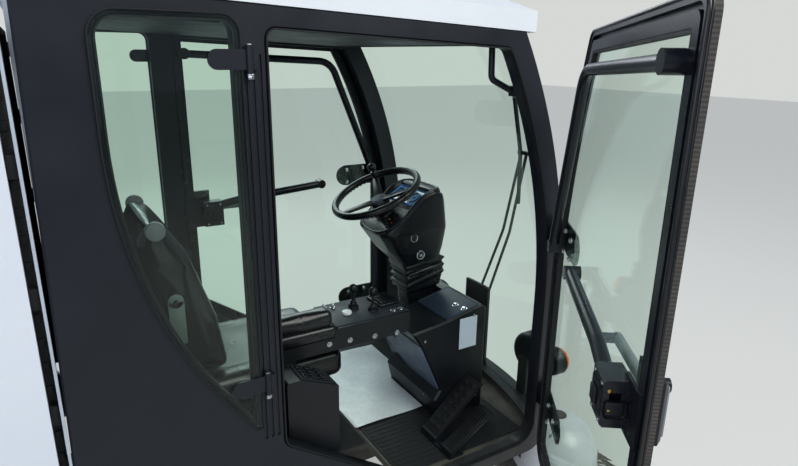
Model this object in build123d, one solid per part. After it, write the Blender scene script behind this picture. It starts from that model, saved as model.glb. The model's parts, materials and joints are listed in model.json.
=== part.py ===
from build123d import *
import os
from math import atan2, cos, degrees, hypot, radians, sin, sqrt

# Compact road sweeper, in millimetres. X points forward, Y to the left, Z up from the ground.
# It is drawn with x = 0 at the front edge of the door's rear pillar and y = 0 on its mid-plane,
# and everything is moved to the middle of its own box at the very end.

# Longer than anything drawn
BEYOND = 4000

# Running gear
WHEEL_R = 270
TYRE_W = 185
RIM_R = 165
WHEEL_Y = 478
FRONT_AXLE_X = 50
REAR_AXLE_X = -1500
KINGPIN_Y = 370
KINGPIN_R = 14
STUB_R = 28
STUB_LENGTH = 150
RUN_GAP = 0.05
STEER_ARM = 130
EYE_H = 80
EYE_R = 32

# Chassis
RAIL_Y = 220
RAIL_W = 50
RAIL_TOP = 375
RAIL_H = 85
RAIL_FRONT = 760
RAIL_BOTTOM = RAIL_TOP - RAIL_H
HOPPER_REAR = -2200
RAIL_REAR = HOPPER_REAR + 120
TOW_X = RAIL_REAR - 55
AXLE_H = 70
TOW_R = 13
TOW_H = 40
TOW_TOP = 350
TOW_REACH = 95

# Cab, side view: the door opening runs from the rear pillar to a bowed front pillar
CAB_HALF = 585
FRAME_T = 50
CAB_IN = CAB_HALF - FRAME_T
DOOR_FRONT = 988
BOW_Z = 963
BOW_R = 1787
PILLAR_A = 75
PILLAR_B = 76
SILL_Z = 400
SILL_H = 55
KINK_X = 490
FOOT_Z = 742
OPENING_TOP = 1875
ROOF_SLOPE = 0.0437
ROOF_UNDER = 1927
HEADER_Z = ROOF_UNDER - 38
FRAME_EDGE = 5
PILLAR_GROOVES = (-58, -40, -22)
ROOF_H = 95
ROOF_BAND = 59
PANEL_REAR = -512
PANEL_FOOT = 600
QUARTER_REAR = -363
QUARTER_LOW = (-113, 894)
QUARTER_MID = (-320, 1314)
QUARTER_TOP = 1889
QUARTER_LAP = 12
QUARTER_HIGH_Z = 1640
FLOOR_T = 12
PLATFORM_Z = 600

# The front: glass, nose and bumper share one bow in plan
PLAN_R = 1480
PLAN_SAG = 105
GLASS_T = 6
SCREEN_FOOT = 815
SCREEN_TOP = ROOF_UNDER - 59
NOSE_HALF = 80
NOSE_T = 14
NOSE_PROUD = 4
BUMPER_TOP = 430
BUMPER_T = 45
BUMPER_OUT = 45
BUMPER_SKIN = 12
FRONT_MID = DOOR_FRONT + PILLAR_A + PLAN_SAG
PLAN_X = FRONT_MID - PLAN_R

# Doors
DOOR_T = 20
DOOR_GAP = 6
DOOR_LAP = 20
DOOR_REAR_LAP = 6
DOOR_TOP_LAP = 46
DOOR_BAR = 53
DOOR_TRIM = 14
DOOR_GROOVE = 12
HINGE_X = 1010
HINGE_Y = CAB_HALF + DOOR_GAP + DOOR_T / 2
HINGE_R = 7
HINGE_BARREL_R = 11
HINGE_HEIGHTS = (600, 1245)
HINGE_H = 60
HINGE_EAR = 14
HINGE_PLATE = 220
HINGE_PLATE_GAP = 32
HINGE_PLATE_H = 100
RIGHT_DOOR_OPEN = 54
GRAB_R = 16
GRAB_BOSS_R = 22
GRAB_START = 55
GRAB_BEND = 700
GRAB_TOP = 1813
LOCK_AT = (80, 1095)
PULL_R = 18
HANDLE_REACH = 300

# Lamps, wiper and small fittings of the cab
LAMP_X = 1154
LAMP_Y = 345
LAMP_Z = 615
LAMP_R = 84
INDICATOR_X = 1150
INDICATOR_Y = CAB_HALF - 60
INDICATOR_Z = 668
INDICATOR_R = 50
BEACON_X = -850
QUARTER_PLATE = -141
QUARTER_HINGES = (959, 1803)
QUARTER_HINGE_HALF = 23
WIPER_PIVOT = (40, 735)
WIPER_LOW = (-250, 1250)
WIPER_HIGH = (-335, 1680)
WIPER_R = 6
WIPER_SEAT = 0.3
ENTRY_LOW = 1712

# Rear body
BODY_HALF = 589
BODY_FRONT = -552
BODY_TOP = 1900
BODY_FOOT = 560
BODY_WALL = 25
REAR_LAMP_W = 130
HOUSING_REAR = -1150
HOPPER_GAP = 12
HOPPER_FOOT = 640
HOPPER_WALL = 22
HATCH_T = 45
HATCH_AXIS_X = HOPPER_REAR - HATCH_T / 2
HATCH_AXIS_Z = BODY_TOP + 22
TIP_X = HOPPER_REAR + 170
TIP_Z = 700
TIP_PIN_R = 20
TIP_CLEAR = 245
SKIRT_REAR = TIP_X - 60
SKIRT_FOOT = 350
ARCH_R = 320

# Engine and suction
ENGINE_BOX = (-1080, -815, -230, 230, 950)
DUCT_X = -690
LOUVRES = 9
LOUVRE_Z = 900
LOUVRE_STEP = 62
LOUVRE_H = 26
DUCT_R = 100
DUCT_WALL = 6
NOZZLE_TOP = 190
NOZZLE_FOOT = 14
NOZZLE_HALF = 350
NOZZLE_WALL = 12
INLET_Z = 1420

# Hopper lift
LIFT_Y = 130
LIFT_BASE = (-1130, 420)
LIFT_EYE = (340, -45)
BARREL_R = 38
ROD_R = 22
LIFT_PIN_R = 14

# Side brushes
ARM_X = 640
ARM_Y = 150
ARM_Z = 268
BRUSH_X = 1280
BRUSH_Y = 450
TINE_REACH = 320
TINE_TIP = 12
PLATE_R = 175
PLATE_Z = 78
COVER_R = 185
COVER_FOOT = 108
COVER_TOP = 335
COVER_SEAT = COVER_TOP - 15
COVER_SEAT_R = 30
TINE_COUNT = 30

# Places inside the cab. Pod rings: height, rear x, front x, half width, corner.
# Side outlines: x, z. Seat back: x and z from the seat's own place. Treadles: y from, y to, tip x, tip z.
WHEEL_CENTRE = (620, 1299)
STEERING_R = 186
COLUMN_TILT = 24
SPOKE_ANGLES = (80, 200, 320)
POD_HALF = 128
POD_RINGS = (
    (984, 726, 892, 66, 24),
    (1058, 652, 898, 100, 42),
    (1150, 588, 902, POD_HALF, 58),
    (1320, 590, 882, POD_HALF, 62),
)
POD_SIDE = ((586, 1142), (616, 1170), (700, 1234), (765, 1290), (815, 1308), (862, 1296))
POD_PANEL = ((704, 1250), (770, 1340), (852, 1340), (850, 1262), (765, 1200))
CLAMP_SIDE = ((734, 868), (742, 930), (716, 990), (800, 1012), (905, 1010), (915, 949), (900, 880))
NECK_FOOT = 690
SEAT_X = 70
SEAT_TOP = 800
SEAT_BACK = ((-236, 0.5), (-100, 0.5), (-128, 189), (-215, 440), (-270, 520), (-330, 545), (-366, 480))
SEAT_BACK_HALF = 205
SWITCH_BOX_W = 116
SWITCH_BOX_CLEAR = 15
HEATER_TOP = 868
HEATER_REAR = ((769, 829), (612, 812), (651, 753), (748, 532), (722, 494))
HEATER_RIGHT = 300
HEATER_LEFT = 80
TREADLE_FOOT = (654, 415)
TREADLE_T = 11
TREADLES = ((-428, -335, 860, 595), (-527, -462, 835, 526))


def box(x0, x1, y0, y1, z0, z1):
    return Pos((x0 + x1) / 2, (y0 + y1) / 2, (z0 + z1) / 2) * Box(x1 - x0, y1 - y0, z1 - z0)


def cyl(x, y, z, axis, radius, length):
    # A cylinder that starts at the point and runs along the axis.
    plane = Plane(origin=(x, y, z), z_dir=axis)
    return extrude(plane * Circle(radius), amount=length)


def slab(face, y0, y1):
    # A face drawn in side view, from y0 to y1.
    return Pos(0, y0, 0) * extrude(face, amount=y1 - y0, dir=(0, 1, 0))


def side_face(edges):
    return make_face([Plane.XZ * edge for edge in edges])


def polygon(*points):
    return make_face(Plane.XZ * Polyline(*points, close=True))


def rounded(face, corners):
    # Rounds each corner in the table: x, z, radius.
    for x, z, radius in corners:
        near = sorted(face.vertices(), key=lambda v: hypot(v.X - x, v.Z - z))[0]
        face = fillet(near, radius)
    return face


def pipe(points, radii, radius):
    path = FilletPolyline(*points, radius=radii)
    start = Plane(origin=path @ 0, z_dir=path % 0)
    return sweep(start * Circle(radius), path=path)


def straight(start, end, radius):
    run = Vector(*end) - Vector(*start)
    return cyl(*start, run.normalized(), radius, run.length)


def mirrored(shape):
    return mirror(shape, about=Plane.XZ)


def pair(shape):
    # The piece and its mirror image, as two solids of one node.
    return Compound(children=[*shape.solids(), *mirrored(shape).solids()])


def front_x(offset, z):
    # The bowed line of the front pillar, offset forward.
    if z <= BOW_Z:
        return DOOR_FRONT + offset
    return DOOR_FRONT - BOW_R + sqrt((BOW_R + offset) ** 2 - (z - BOW_Z) ** 2)


def bow_edges(offset, z0, z1):
    # The pillar line from z0 up to z1.
    low = (front_x(offset, z0), z0)
    high = (front_x(offset, z1), z1)
    bend = (front_x(offset, BOW_Z), BOW_Z)
    middle = (BOW_Z + z1) / 2
    arc = ThreePointArc(bend, (front_x(offset, middle), middle), high)
    return [Line(low, bend), arc]


def roof_line(x, z):
    # The roof and the top of the door opening fall towards the front.
    return z - ROOF_SLOPE * x


def opening_face(grow, rear_grow, top_grow):
    # The door opening, grown outwards: sill, foot and front by the first, rear and top by their own.
    slope = (FOOT_Z - SILL_Z) / KINK_X
    lift = grow * sqrt(1 + slope ** 2)
    rear = -rear_grow
    foot = FOOT_Z - lift + rear_grow * slope
    sill = SILL_Z - grow
    kink = (FOOT_Z - lift - sill) / slope
    top_z = roof_line(front_x(grow, OPENING_TOP - 33), OPENING_TOP) + top_grow
    top = (front_x(grow, top_z), top_z)
    rear_top = roof_line(rear, OPENING_TOP) + top_grow
    edges = [
        Line((rear, foot), (kink, sill)),
        Line((kink, sill), (front_x(grow, sill), sill)),
        *bow_edges(grow, sill, top_z),
        Line(top, (rear, rear_top)),
        Line((rear, rear_top), (rear, foot)),
    ]
    corners = [
        (rear, foot, 40 + grow / 2),
        (kink, sill, 120 + grow),
        (front_x(grow, sill), sill, 80 + grow),
        (top[0], top[1], 32 + 0.6 * grow),
        (rear, rear_top, 24 + grow / 2),
    ]
    return rounded(side_face(edges), corners)


def door_face(inset):
    # The door's own outline, drawn inwards from its edge trim.
    return opening_face(DOOR_LAP - inset, DOOR_REAR_LAP - inset, DOOR_TOP_LAP - inset)


def quarter_face(grow):
    # The quarter window behind the rear pillar, with its bowed rear edge.
    front = -PILLAR_B + grow
    low_x, low_z = QUARTER_LOW
    foot = low_z - 60 - grow
    top = QUARTER_TOP + grow
    rear = QUARTER_REAR - grow
    mid_x, mid_z = QUARTER_MID
    low_corner = (low_x - 0.7 * grow, low_z - 0.7 * grow)
    edges = [
        Line((front, foot), (low_x + 35, foot)),
        Line((low_x + 35, foot), low_corner),
        ThreePointArc(low_corner, (mid_x - grow, mid_z), (rear, QUARTER_HIGH_Z)),
        Line((rear, QUARTER_HIGH_Z), (rear, top)),
        Line((rear, top), (front, top)),
        Line((front, top), (front, foot)),
    ]
    corners = [
        (rear, top, 45 + grow),
        (front, top, 30 + grow),
    ]
    return rounded(side_face(edges), corners)


def side_frame():
    # Pressed side of the cab: both pillars, roof rail, sill and rear quarter panel in one.
    slope = (FOOT_Z - SILL_Z) / KINK_X
    drop = SILL_H * sqrt(1 + slope ** 2)
    sill = SILL_Z - SILL_H
    foot_x = (FOOT_Z - drop - PANEL_FOOT) / slope
    kink_x = (FOOT_Z - drop - sill) / slope
    roof_front = roof_line(front_x(PILLAR_A, HEADER_Z), ROOF_UNDER)
    front_top = (front_x(PILLAR_A, roof_front), roof_front)
    rear_top = (PANEL_REAR + 10, roof_line(PANEL_REAR + 10, ROOF_UNDER))
    edges = [
        Line((PANEL_REAR - 18, PANEL_FOOT), (foot_x, PANEL_FOOT)),
        Line((foot_x, PANEL_FOOT), (kink_x, sill)),
        Line((kink_x, sill), (front_x(PILLAR_A, sill), sill)),
        *bow_edges(PILLAR_A, sill, roof_front),
        Line(front_top, rear_top),
        Line(rear_top, (PANEL_REAR - 18, PANEL_FOOT)),
    ]
    face = side_face(edges)
    face = rounded(face, [(front_x(PILLAR_A, sill), sill, 95), (kink_x, sill, 150)])
    frame = slab(face, CAB_IN, CAB_HALF)
    frame -= slab(opening_face(0, 0, 0), CAB_IN - 1, CAB_HALF + 1)
    frame -= slab(quarter_face(0), CAB_IN - 1, CAB_HALF + 1)
    frame = chamfer(frame.edges().group_by(Axis.Y)[-1], FRAME_EDGE)
    # Pressed grooves up the rear pillar.
    for x in PILLAR_GROOVES:
        frame -= box(x, x + 8, CAB_HALF - 4, CAB_HALF + 1, 780, OPENING_TOP - 60)
    # A hinge bracket beside the front pillar for each height.
    for z in HINGE_HEIGHTS:
        frame += hinge_bracket(z)
    return frame


def hinge_bracket(z):
    # Two ears with the pin between them. The door's barrel turns on the pin.
    low = z - HINGE_H / 2
    high = z + HINGE_H / 2
    room = HINGE_BARREL_R + 3
    block = box(HINGE_X - 12, HINGE_X + 22, CAB_HALF - 0.5, HINGE_Y + 12, low - HINGE_EAR, high + HINGE_EAR)
    block -= cyl(HINGE_X, HINGE_Y, low, (0, 0, 1), room, HINGE_H)
    block -= box(HINGE_X - 40, HINGE_X + 40, HINGE_Y - room, HINGE_Y + 40, low, high)
    pin = cyl(HINGE_X, HINGE_Y, low - HINGE_EAR, (0, 0, 1), HINGE_R, HINGE_H + 2 * HINGE_EAR)
    return block + pin


def door_shell():
    # A closed left door: edge trim, groove and tube round the glass, with its hinge barrels.
    y0 = CAB_HALF + DOOR_GAP
    y1 = y0 + DOOR_T
    edge = HINGE_X - HINGE_BARREL_R - 12
    frame = slab(door_face(0), y0, y1) & box(-BEYOND, edge, y0 - 1, y1 + 1, 0, BEYOND)
    inner = slab(door_face(DOOR_BAR), y0 - 1, y1 + 1)
    frame -= inner & box(-BEYOND, edge - DOOR_BAR, y0 - 2, y1 + 2, 0, BEYOND)
    groove = slab(door_face(DOOR_TRIM), y0 - 1, y1 - 8)
    groove -= slab(door_face(DOOR_TRIM + DOOR_GROOVE), y0 - 2, y1)
    frame -= groove & box(-BEYOND, edge - DOOR_BAR, y0 - 2, y1 + 2, 0, BEYOND)
    for z in HINGE_HEIGHTS:
        barrel = cyl(HINGE_X, HINGE_Y, z - HINGE_H / 2 + 1, (0, 0, 1), HINGE_BARREL_R, HINGE_H - 2)
        leaf = box(HINGE_X - HINGE_BARREL_R - 30, HINGE_X, HINGE_Y - 6, HINGE_Y + 6,
                   z - HINGE_H / 2 + 1, z + HINGE_H / 2 - 1)
        bore = cyl(HINGE_X, HINGE_Y, z - HINGE_H / 2, (0, 0, 1), HINGE_R + RUN_GAP, HINGE_H)
        frame += barrel + leaf
        frame -= bore
        frame += hinge_plate(z, y1)
    return frame


def hinge_plate(z, y):
    # Round-ended plate outside the glass, bolted through it.
    half = HINGE_PLATE_H / 2
    reach = HINGE_X - HINGE_PLATE
    plate = box(reach, HINGE_X - HINGE_PLATE_GAP, y - 0.5, y + 5, z - half, z + half)
    plate += cyl(reach, y - 0.5, z, (0, 1, 0), half, 5.5)
    glass = HINGE_Y + GLASS_T / 2
    for x in (reach, reach + 90):
        plate += cyl(x, glass, z, (0, 1, 0), 11, y - glass + 1)
    return plate


def door_glass():
    y0 = HINGE_Y - GLASS_T / 2
    pane = slab(door_face(DOOR_BAR), y0, y0 + GLASS_T)
    edge = HINGE_X - HINGE_BARREL_R - 12
    return pane & box(-BEYOND, edge - DOOR_BAR, y0 - 1, y0 + GLASS_T + 1, 0, BEYOND)


def door_grab():
    # Bent tube, lock box and pull bar inside the door, and its handle outside.
    inside = CAB_HALF + DOOR_GAP
    outside = inside + DOOR_T
    y = inside - GRAB_R - 3
    line = [(GRAB_START, y, GRAB_TOP), (GRAB_BEND, y, GRAB_TOP - 27), (905, y, 1290), (938, y, 1212)]
    part = pipe(line, [90, 60], GRAB_R)
    part += cyl(GRAB_START, y - GRAB_BOSS_R, GRAB_TOP, (0, 1, 0), GRAB_BOSS_R, inside + 0.5 - y + GRAB_BOSS_R)
    part += box(922, 952, y - GRAB_R, inside + 0.5, 1190, 1226)
    lock_x, lock_z = LOCK_AT
    lock = box(lock_x, lock_x + 80, inside - 57, inside, lock_z, lock_z + 107)
    lock = chamfer(lock.edges().filter_by(Axis.X).group_by(Axis.Y)[0], 6)
    lock -= box(lock_x - 1, lock_x + 26, inside - 44, inside - 20, lock_z + 26, lock_z + 80)
    part += lock + box(14, lock_x + 30, inside - 8, inside + 0.5, lock_z - 8, lock_z + 115)
    pull_end = 635
    pull_y = inside - PULL_R - 3
    pull_z = lock_z + 131
    line = [(lock_x + 70, pull_y - 14, lock_z + 88), (lock_x + 180, pull_y - 8, lock_z + 104),
            (pull_end, pull_y, pull_z)]
    part += pipe(line, [60], PULL_R)
    part += cyl(pull_end, pull_y - 18, pull_z, (0, 1, 0), 20, HINGE_Y - GLASS_T / 2 - pull_y + 18)
    outer = box(14, 122, outside - 0.5, outside + 24, lock_z + 10, lock_z + 145)
    outer = chamfer(outer.edges().group_by(Axis.Y)[-1], 8)
    handle_z = lock_z + 57
    handle_y = outside + 34
    part += outer + cyl(90, handle_y, handle_z, (1, 0, 0), 12, HANDLE_REACH)
    part += cyl(50, outside + 20, lock_z + 122, (0, 1, 0), 14, 16)
    glass = HINGE_Y + GLASS_T / 2
    end = 90 + HANDLE_REACH - 12
    part += cyl(end, glass, handle_z, (0, 1, 0), 13, handle_y - glass)
    part += box(84, 112, outside + 20, handle_y, handle_z - 14, handle_z + 14)
    return part


def tyre():
    # Half section as radius and side distance: tread, shoulder, wall and bead.
    half = TYRE_W / 2
    points = [
        (RIM_R + RUN_GAP, half - 22),
        (RIM_R + 18, half - 12),
        (WHEEL_R - 55, half),
        (WHEEL_R - 22, half - 3),
        (WHEEL_R, half - 22),
    ]
    section = points + [(r, -s) for r, s in reversed(points)]
    face = make_face(Plane.XY * Polyline(*section, close=True))
    return revolve(face, axis=Axis.Y)


def rim():
    # Drop-centre rim with a dished disc, five hand holes and a hub round the stub axle.
    half = TYRE_W / 2
    points = [
        (STUB_R + RUN_GAP, -35),
        (STUB_R + RUN_GAP, 48),
        (60, 48),
        (75, 20),
        (RIM_R - 22, 10),
        (RIM_R - 14, half - 22),
        (RIM_R, half - 22),
        (RIM_R, -half + 22),
        (RIM_R - 14, -half + 22),
        (RIM_R - 22, -2),
        (75, 0),
        (62, -35),
    ]
    body = revolve(make_face(Plane.XY * Polyline(*points, close=True)), axis=Axis.Y)
    for step in range(5):
        angle = radians(72 * step)
        hole = cyl(112 * cos(angle), -half, 112 * sin(angle), (0, 1, 0), 16, TYRE_W)
        body -= hole
    return body


def place_wheel(shape, x):
    return Pos(x, WHEEL_Y, WHEEL_R) * shape


def knuckle():
    # Fork round the axle eye, kingpin, stub axle and steering arm, for the left side.
    inner = KINGPIN_Y - EYE_R - 4
    outer = KINGPIN_Y + EYE_R + 4
    arm = 16
    half = EYE_H / 2 + 1
    reach = half + arm
    upright = box(FRONT_AXLE_X - 34, FRONT_AXLE_X + 34, outer, outer + 18, WHEEL_R - reach, WHEEL_R + reach)
    top = box(FRONT_AXLE_X - 30, FRONT_AXLE_X + 30, inner, outer + 4, WHEEL_R + half, WHEEL_R + half + arm)
    low = box(FRONT_AXLE_X - 30, FRONT_AXLE_X + 30, inner, outer + 4, WHEEL_R - half - arm, WHEEL_R - half)
    pin = cyl(FRONT_AXLE_X, KINGPIN_Y, WHEEL_R - half - arm, (0, 0, 1), KINGPIN_R, 2 * (half + arm))
    stub = cyl(FRONT_AXLE_X, outer + 10, WHEEL_R, (0, 1, 0), STUB_R, STUB_LENGTH - 30)
    lever = box(FRONT_AXLE_X - STEER_ARM - 18, FRONT_AXLE_X, KINGPIN_Y - 18, KINGPIN_Y + 18,
                WHEEL_R - half - arm, WHEEL_R - half)
    joint = cyl(FRONT_AXLE_X - STEER_ARM, KINGPIN_Y, WHEEL_R - half - arm - 24, (0, 0, 1), 8, 26)
    return upright + top + low + pin + stub + lever + joint


def tie_rod():
    z = WHEEL_R - EYE_H / 2 - 1 - 16 - 21
    x = FRONT_AXLE_X - STEER_ARM
    bar = cyl(x, -KINGPIN_Y + 14, z + 8, (0, 1, 0), 10, 2 * KINGPIN_Y - 28)
    for side in (-1, 1):
        bar += cyl(x, side * KINGPIN_Y, z, (0, 0, 1), 20, 18)
    bar -= cyl(x, KINGPIN_Y, z - 1, (0, 0, 1), 8 + RUN_GAP, 20)
    bar -= cyl(x, -KINGPIN_Y, z - 1, (0, 0, 1), 8 + 3, 20)
    return bar


def front_axle():
    beam = box(FRONT_AXLE_X - 35, FRONT_AXLE_X + 35, -KINGPIN_Y, KINGPIN_Y, RAIL_BOTTOM - 62, RAIL_BOTTOM)
    for side in (-1, 1):
        y = side * KINGPIN_Y
        beam -= cyl(FRONT_AXLE_X, y, RAIL_BOTTOM - 100, (0, 0, 1), EYE_R + 30, 150)
        eye = cyl(FRONT_AXLE_X, y, WHEEL_R - EYE_H / 2, (0, 0, 1), EYE_R, EYE_H)
        y0, y1 = sorted((side * (KINGPIN_Y - EYE_R - 35), y))
        beam += eye + box(FRONT_AXLE_X - 20, FRONT_AXLE_X + 20, y0, y1, WHEEL_R - 30, WHEEL_R + 20)
        beam -= cyl(FRONT_AXLE_X, y, RAIL_BOTTOM - 150, (0, 0, 1), KINGPIN_R + RUN_GAP, 300)
    return beam


def rear_axle():
    reach = WHEEL_Y - 60
    beam = box(REAR_AXLE_X - 40, REAR_AXLE_X + 40, -reach, reach, RAIL_BOTTOM - AXLE_H, RAIL_BOTTOM)
    for side in (-1, 1):
        beam += cyl(REAR_AXLE_X, side * (reach - 5), WHEEL_R, (0, side, 0), STUB_R, STUB_LENGTH - 20)
        beam += cyl(REAR_AXLE_X, side * (reach - 30), WHEEL_R, (0, side, 0), 48, 32)
    return beam


def chassis():
    y0 = RAIL_Y - RAIL_W / 2
    y1 = RAIL_Y + RAIL_W / 2
    frame = box(RAIL_REAR, RAIL_FRONT, y0, y1, RAIL_BOTTOM, RAIL_TOP)
    frame += box(RAIL_REAR, RAIL_FRONT, -y1, -y0, RAIL_BOTTOM, RAIL_TOP)
    for x in (RAIL_REAR, -1750, -1180, -560, 250, RAIL_FRONT - 60):
        frame += box(x, x + 60, -y0 - 1, y0 + 1, RAIL_BOTTOM, RAIL_TOP)
    # Pads and posts under the cab floor.
    for side in (-1, 1):
        frame += cyl(640, side * RAIL_Y, RAIL_TOP - 1, (0, 0, 1), 22, SILL_Z - FLOOR_T - RAIL_TOP + 1)
        frame += cyl(-430, side * RAIL_Y, RAIL_TOP - 1, (0, 0, 1), 22, PLATFORM_Z - FLOOR_T - RAIL_TOP + 1)
        # Outriggers under the engine housing and the skirts.
        for x in (-620, -1100, RAIL_REAR + 20):
            z0, z1 = sorted((side * y0, side * (BODY_HALF - BODY_WALL)))
            frame += box(x, x + 40, z0, z1, RAIL_TOP - 50, RAIL_TOP)
        # Housing posts.
        for x in (-600, -1120):
            z0, z1 = sorted((side * (BODY_HALF - BODY_WALL - 40), side * (BODY_HALF - BODY_WALL)))
            frame += box(x, x + 40, z0, z1, RAIL_TOP - 50, BODY_FOOT)
        # Rear pivot ears with the tip pin.
        z0, z1 = sorted((side * y0, side * y1))
        ear = box(TIP_X - 40, TIP_X + 40, z0, z1, RAIL_TOP - 1, TIP_Z)
        ear += cyl(TIP_X, z0, TIP_Z, (0, 1, 0), 40, z1 - z0)
        frame += ear
        frame += cyl(TIP_X, side * (y0 - 46), TIP_Z, (0, side, 0), TIP_PIN_R, 48)
        # Brush arm pivot pin on the front cross member.
        frame += box(ARM_X - 45, ARM_X + 45, side * ARM_Y - 40, side * ARM_Y + 40, RAIL_TOP - 30, RAIL_TOP)
        frame += cyl(ARM_X, side * ARM_Y, ARM_Z - 40, (0, 0, 1), 18, RAIL_TOP - ARM_Z + 30)
    frame += box(ARM_X - 45, ARM_X + 45, -y0 - 1, y0 + 1, RAIL_TOP - 30, RAIL_TOP)
    # Front tongue that carries the bumper and nose.
    for side in (-y1, y0):
        tongue_z = SILL_Z - SILL_H + BUMPER_SKIN
        frame += box(RAIL_FRONT - 10, FRONT_MID - 58, side, side + RAIL_W, tongue_z, RAIL_TOP)
    # Lamp bar across the rear.
    lamp_bar = BODY_HALF - BODY_WALL
    frame += box(RAIL_REAR - 38, RAIL_REAR + 1, -lamp_bar, lamp_bar, RAIL_TOP - 45, RAIL_TOP)
    frame += lift_clevis()
    # Towing tongue behind the rear cross member.
    frame += box(RAIL_REAR - TOW_REACH, RAIL_REAR + 1, -45, 45, TOW_TOP - TOW_H, TOW_TOP)
    frame -= cyl(TOW_X, 0, TOW_TOP - TOW_H - 1, (0, 0, 1), TOW_R, TOW_H + 2)
    return frame


def lift_clevis():
    # Ears and pins that hold the foot of each lift cylinder, on a cross bar.
    x, z = LIFT_BASE
    part = box(x - 40, x + 40, -RAIL_Y, RAIL_Y, RAIL_BOTTOM, RAIL_BOTTOM + 40)
    for side in (-1, 1):
        y = side * LIFT_Y
        for edge in (-1, 1):
            y0, y1 = sorted((y + edge * 26, y + edge * 38))
            part += box(x - 28, x + 28, y0, y1, RAIL_BOTTOM + 39, z + 26)
        part += cyl(x, y - 38, z, (0, 1, 0), LIFT_PIN_R, 76)
    return part


def lift_frame():
    # Where each lift cylinder lies at rest: foot, direction and eye.
    foot = Vector(LIFT_BASE[0], 0, LIFT_BASE[1])
    eye = Vector(TIP_X + LIFT_EYE[0], 0, TIP_Z + LIFT_EYE[1])
    along = (eye - foot)
    return foot, along.normalized(), along.length


def lift_barrel(side):
    foot, along, length = lift_frame()
    y = side * LIFT_Y
    tube_start = 60
    tube_end = length - 70
    start = foot + along * tube_start
    tube = cyl(start.X, y, start.Z, along, BARREL_R, tube_end - tube_start)
    inner = foot + along * (tube_start + 15)
    tube -= cyl(inner.X, y, inner.Z, along, ROD_R + 8, tube_end - tube_start - 40)
    tube -= cyl(inner.X, y, inner.Z, along, ROD_R + RUN_GAP, tube_end)
    eye = cyl(foot.X, y - 24, foot.Z, (0, 1, 0), 30, 48)
    neck = cyl(foot.X, y, foot.Z, along, 20, tube_start + 5)
    part = eye + neck
    part -= cyl(foot.X, y - 40, foot.Z, (0, 1, 0), LIFT_PIN_R + RUN_GAP, 80)
    return tube + part


def lift_rod(side):
    foot, along, length = lift_frame()
    y = side * LIFT_Y
    start = foot + along * 90
    rod = cyl(start.X, y, start.Z, along, ROD_R, length - 90)
    piston = cyl(start.X, y, start.Z, along, ROD_R + 7.9, 30)
    eye_at = foot + along * length
    eye = cyl(eye_at.X, y - 20, eye_at.Z, (0, 1, 0), 28, 40)
    return rod + piston + eye


def hopper():
    front = HOUSING_REAR - HOPPER_GAP
    shell = box(HOPPER_REAR, front, -BODY_HALF, BODY_HALF, HOPPER_FOOT, BODY_TOP)
    shell = fillet(shell.edges().filter_by(Axis.X).group_by(Axis.Z)[-1], 60)
    w = HOPPER_WALL
    shell -= box(HOPPER_REAR - 1, front - w, -BODY_HALF + w, BODY_HALF - w, HOPPER_FOOT + w, BODY_TOP - w)
    # Recess for the rear pivot ears and the lift cylinders.
    y1 = RAIL_Y + RAIL_W / 2
    pocket_top = TIP_Z + 70
    shell += box(HOPPER_REAR, front, -y1 - 40, y1 + 40, HOPPER_FOOT, pocket_top + w)
    shell -= box(HOPPER_REAR - 1, front - 60, -y1 - 18, y1 + 18, HOPPER_FOOT - 1, pocket_top)
    # Suction inlet.
    shell -= cyl(front + 1, 0, INLET_Z, (-1, 0, 0), DUCT_R, HOPPER_WALL + 2)
    # Lugs with bores on the tip pins, and lift ears.
    y0 = RAIL_Y - RAIL_W / 2
    for side in (-1, 1):
        ya, yb = sorted((side * (y0 - 4), side * (y0 - 44)))
        lug = box(TIP_X - 38, TIP_X + 38, ya, yb, TIP_Z, pocket_top + 1)
        lug += cyl(TIP_X, ya, TIP_Z, (0, 1, 0), 38, yb - ya)
        lug -= cyl(TIP_X, ya - 1, TIP_Z, (0, 1, 0), TIP_PIN_R + RUN_GAP, yb - ya + 2)
        shell += lug
        x = TIP_X + LIFT_EYE[0]
        z = TIP_Z + LIFT_EYE[1]
        for edge in (-1, 1):
            ya, yb = sorted((side * LIFT_Y + edge * 22, side * LIFT_Y + edge * 34))
            shell += box(x - 26, x + 26, ya, yb, z - 26, pocket_top + 1)
    # Shallow pressed panels in both sides.
    for side in (-1, 1):
        y0, y1 = sorted((side * (BODY_HALF - 5), side * (BODY_HALF + 1)))
        shell -= box(HOPPER_REAR + 90, front - 90, y0, y1, 800, BODY_TOP - 120)
    # Hinge ears for the rear hatch.
    for side in (-1, 1):
        y = side * 380
        shell += cyl(HATCH_AXIS_X, y - 30, HATCH_AXIS_Z, (0, 1, 0), 12, 60)
        for y0, y1 in ((y - 45, y - 30), (y + 30, y + 45)):
            shell += box(HOPPER_REAR - HATCH_T / 2, HOPPER_REAR + 60, y0, y1, BODY_TOP + 4, BODY_TOP + 34)
            shell += box(HOPPER_REAR, HOPPER_REAR + 60, y0, y1, BODY_TOP - 10, BODY_TOP + 5)
        shell += cyl(HATCH_AXIS_X, y - 45, HATCH_AXIS_Z, (0, 1, 0), 18, 15)
        shell += cyl(HATCH_AXIS_X, y + 30, HATCH_AXIS_Z, (0, 1, 0), 18, 15)
    return shell


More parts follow.
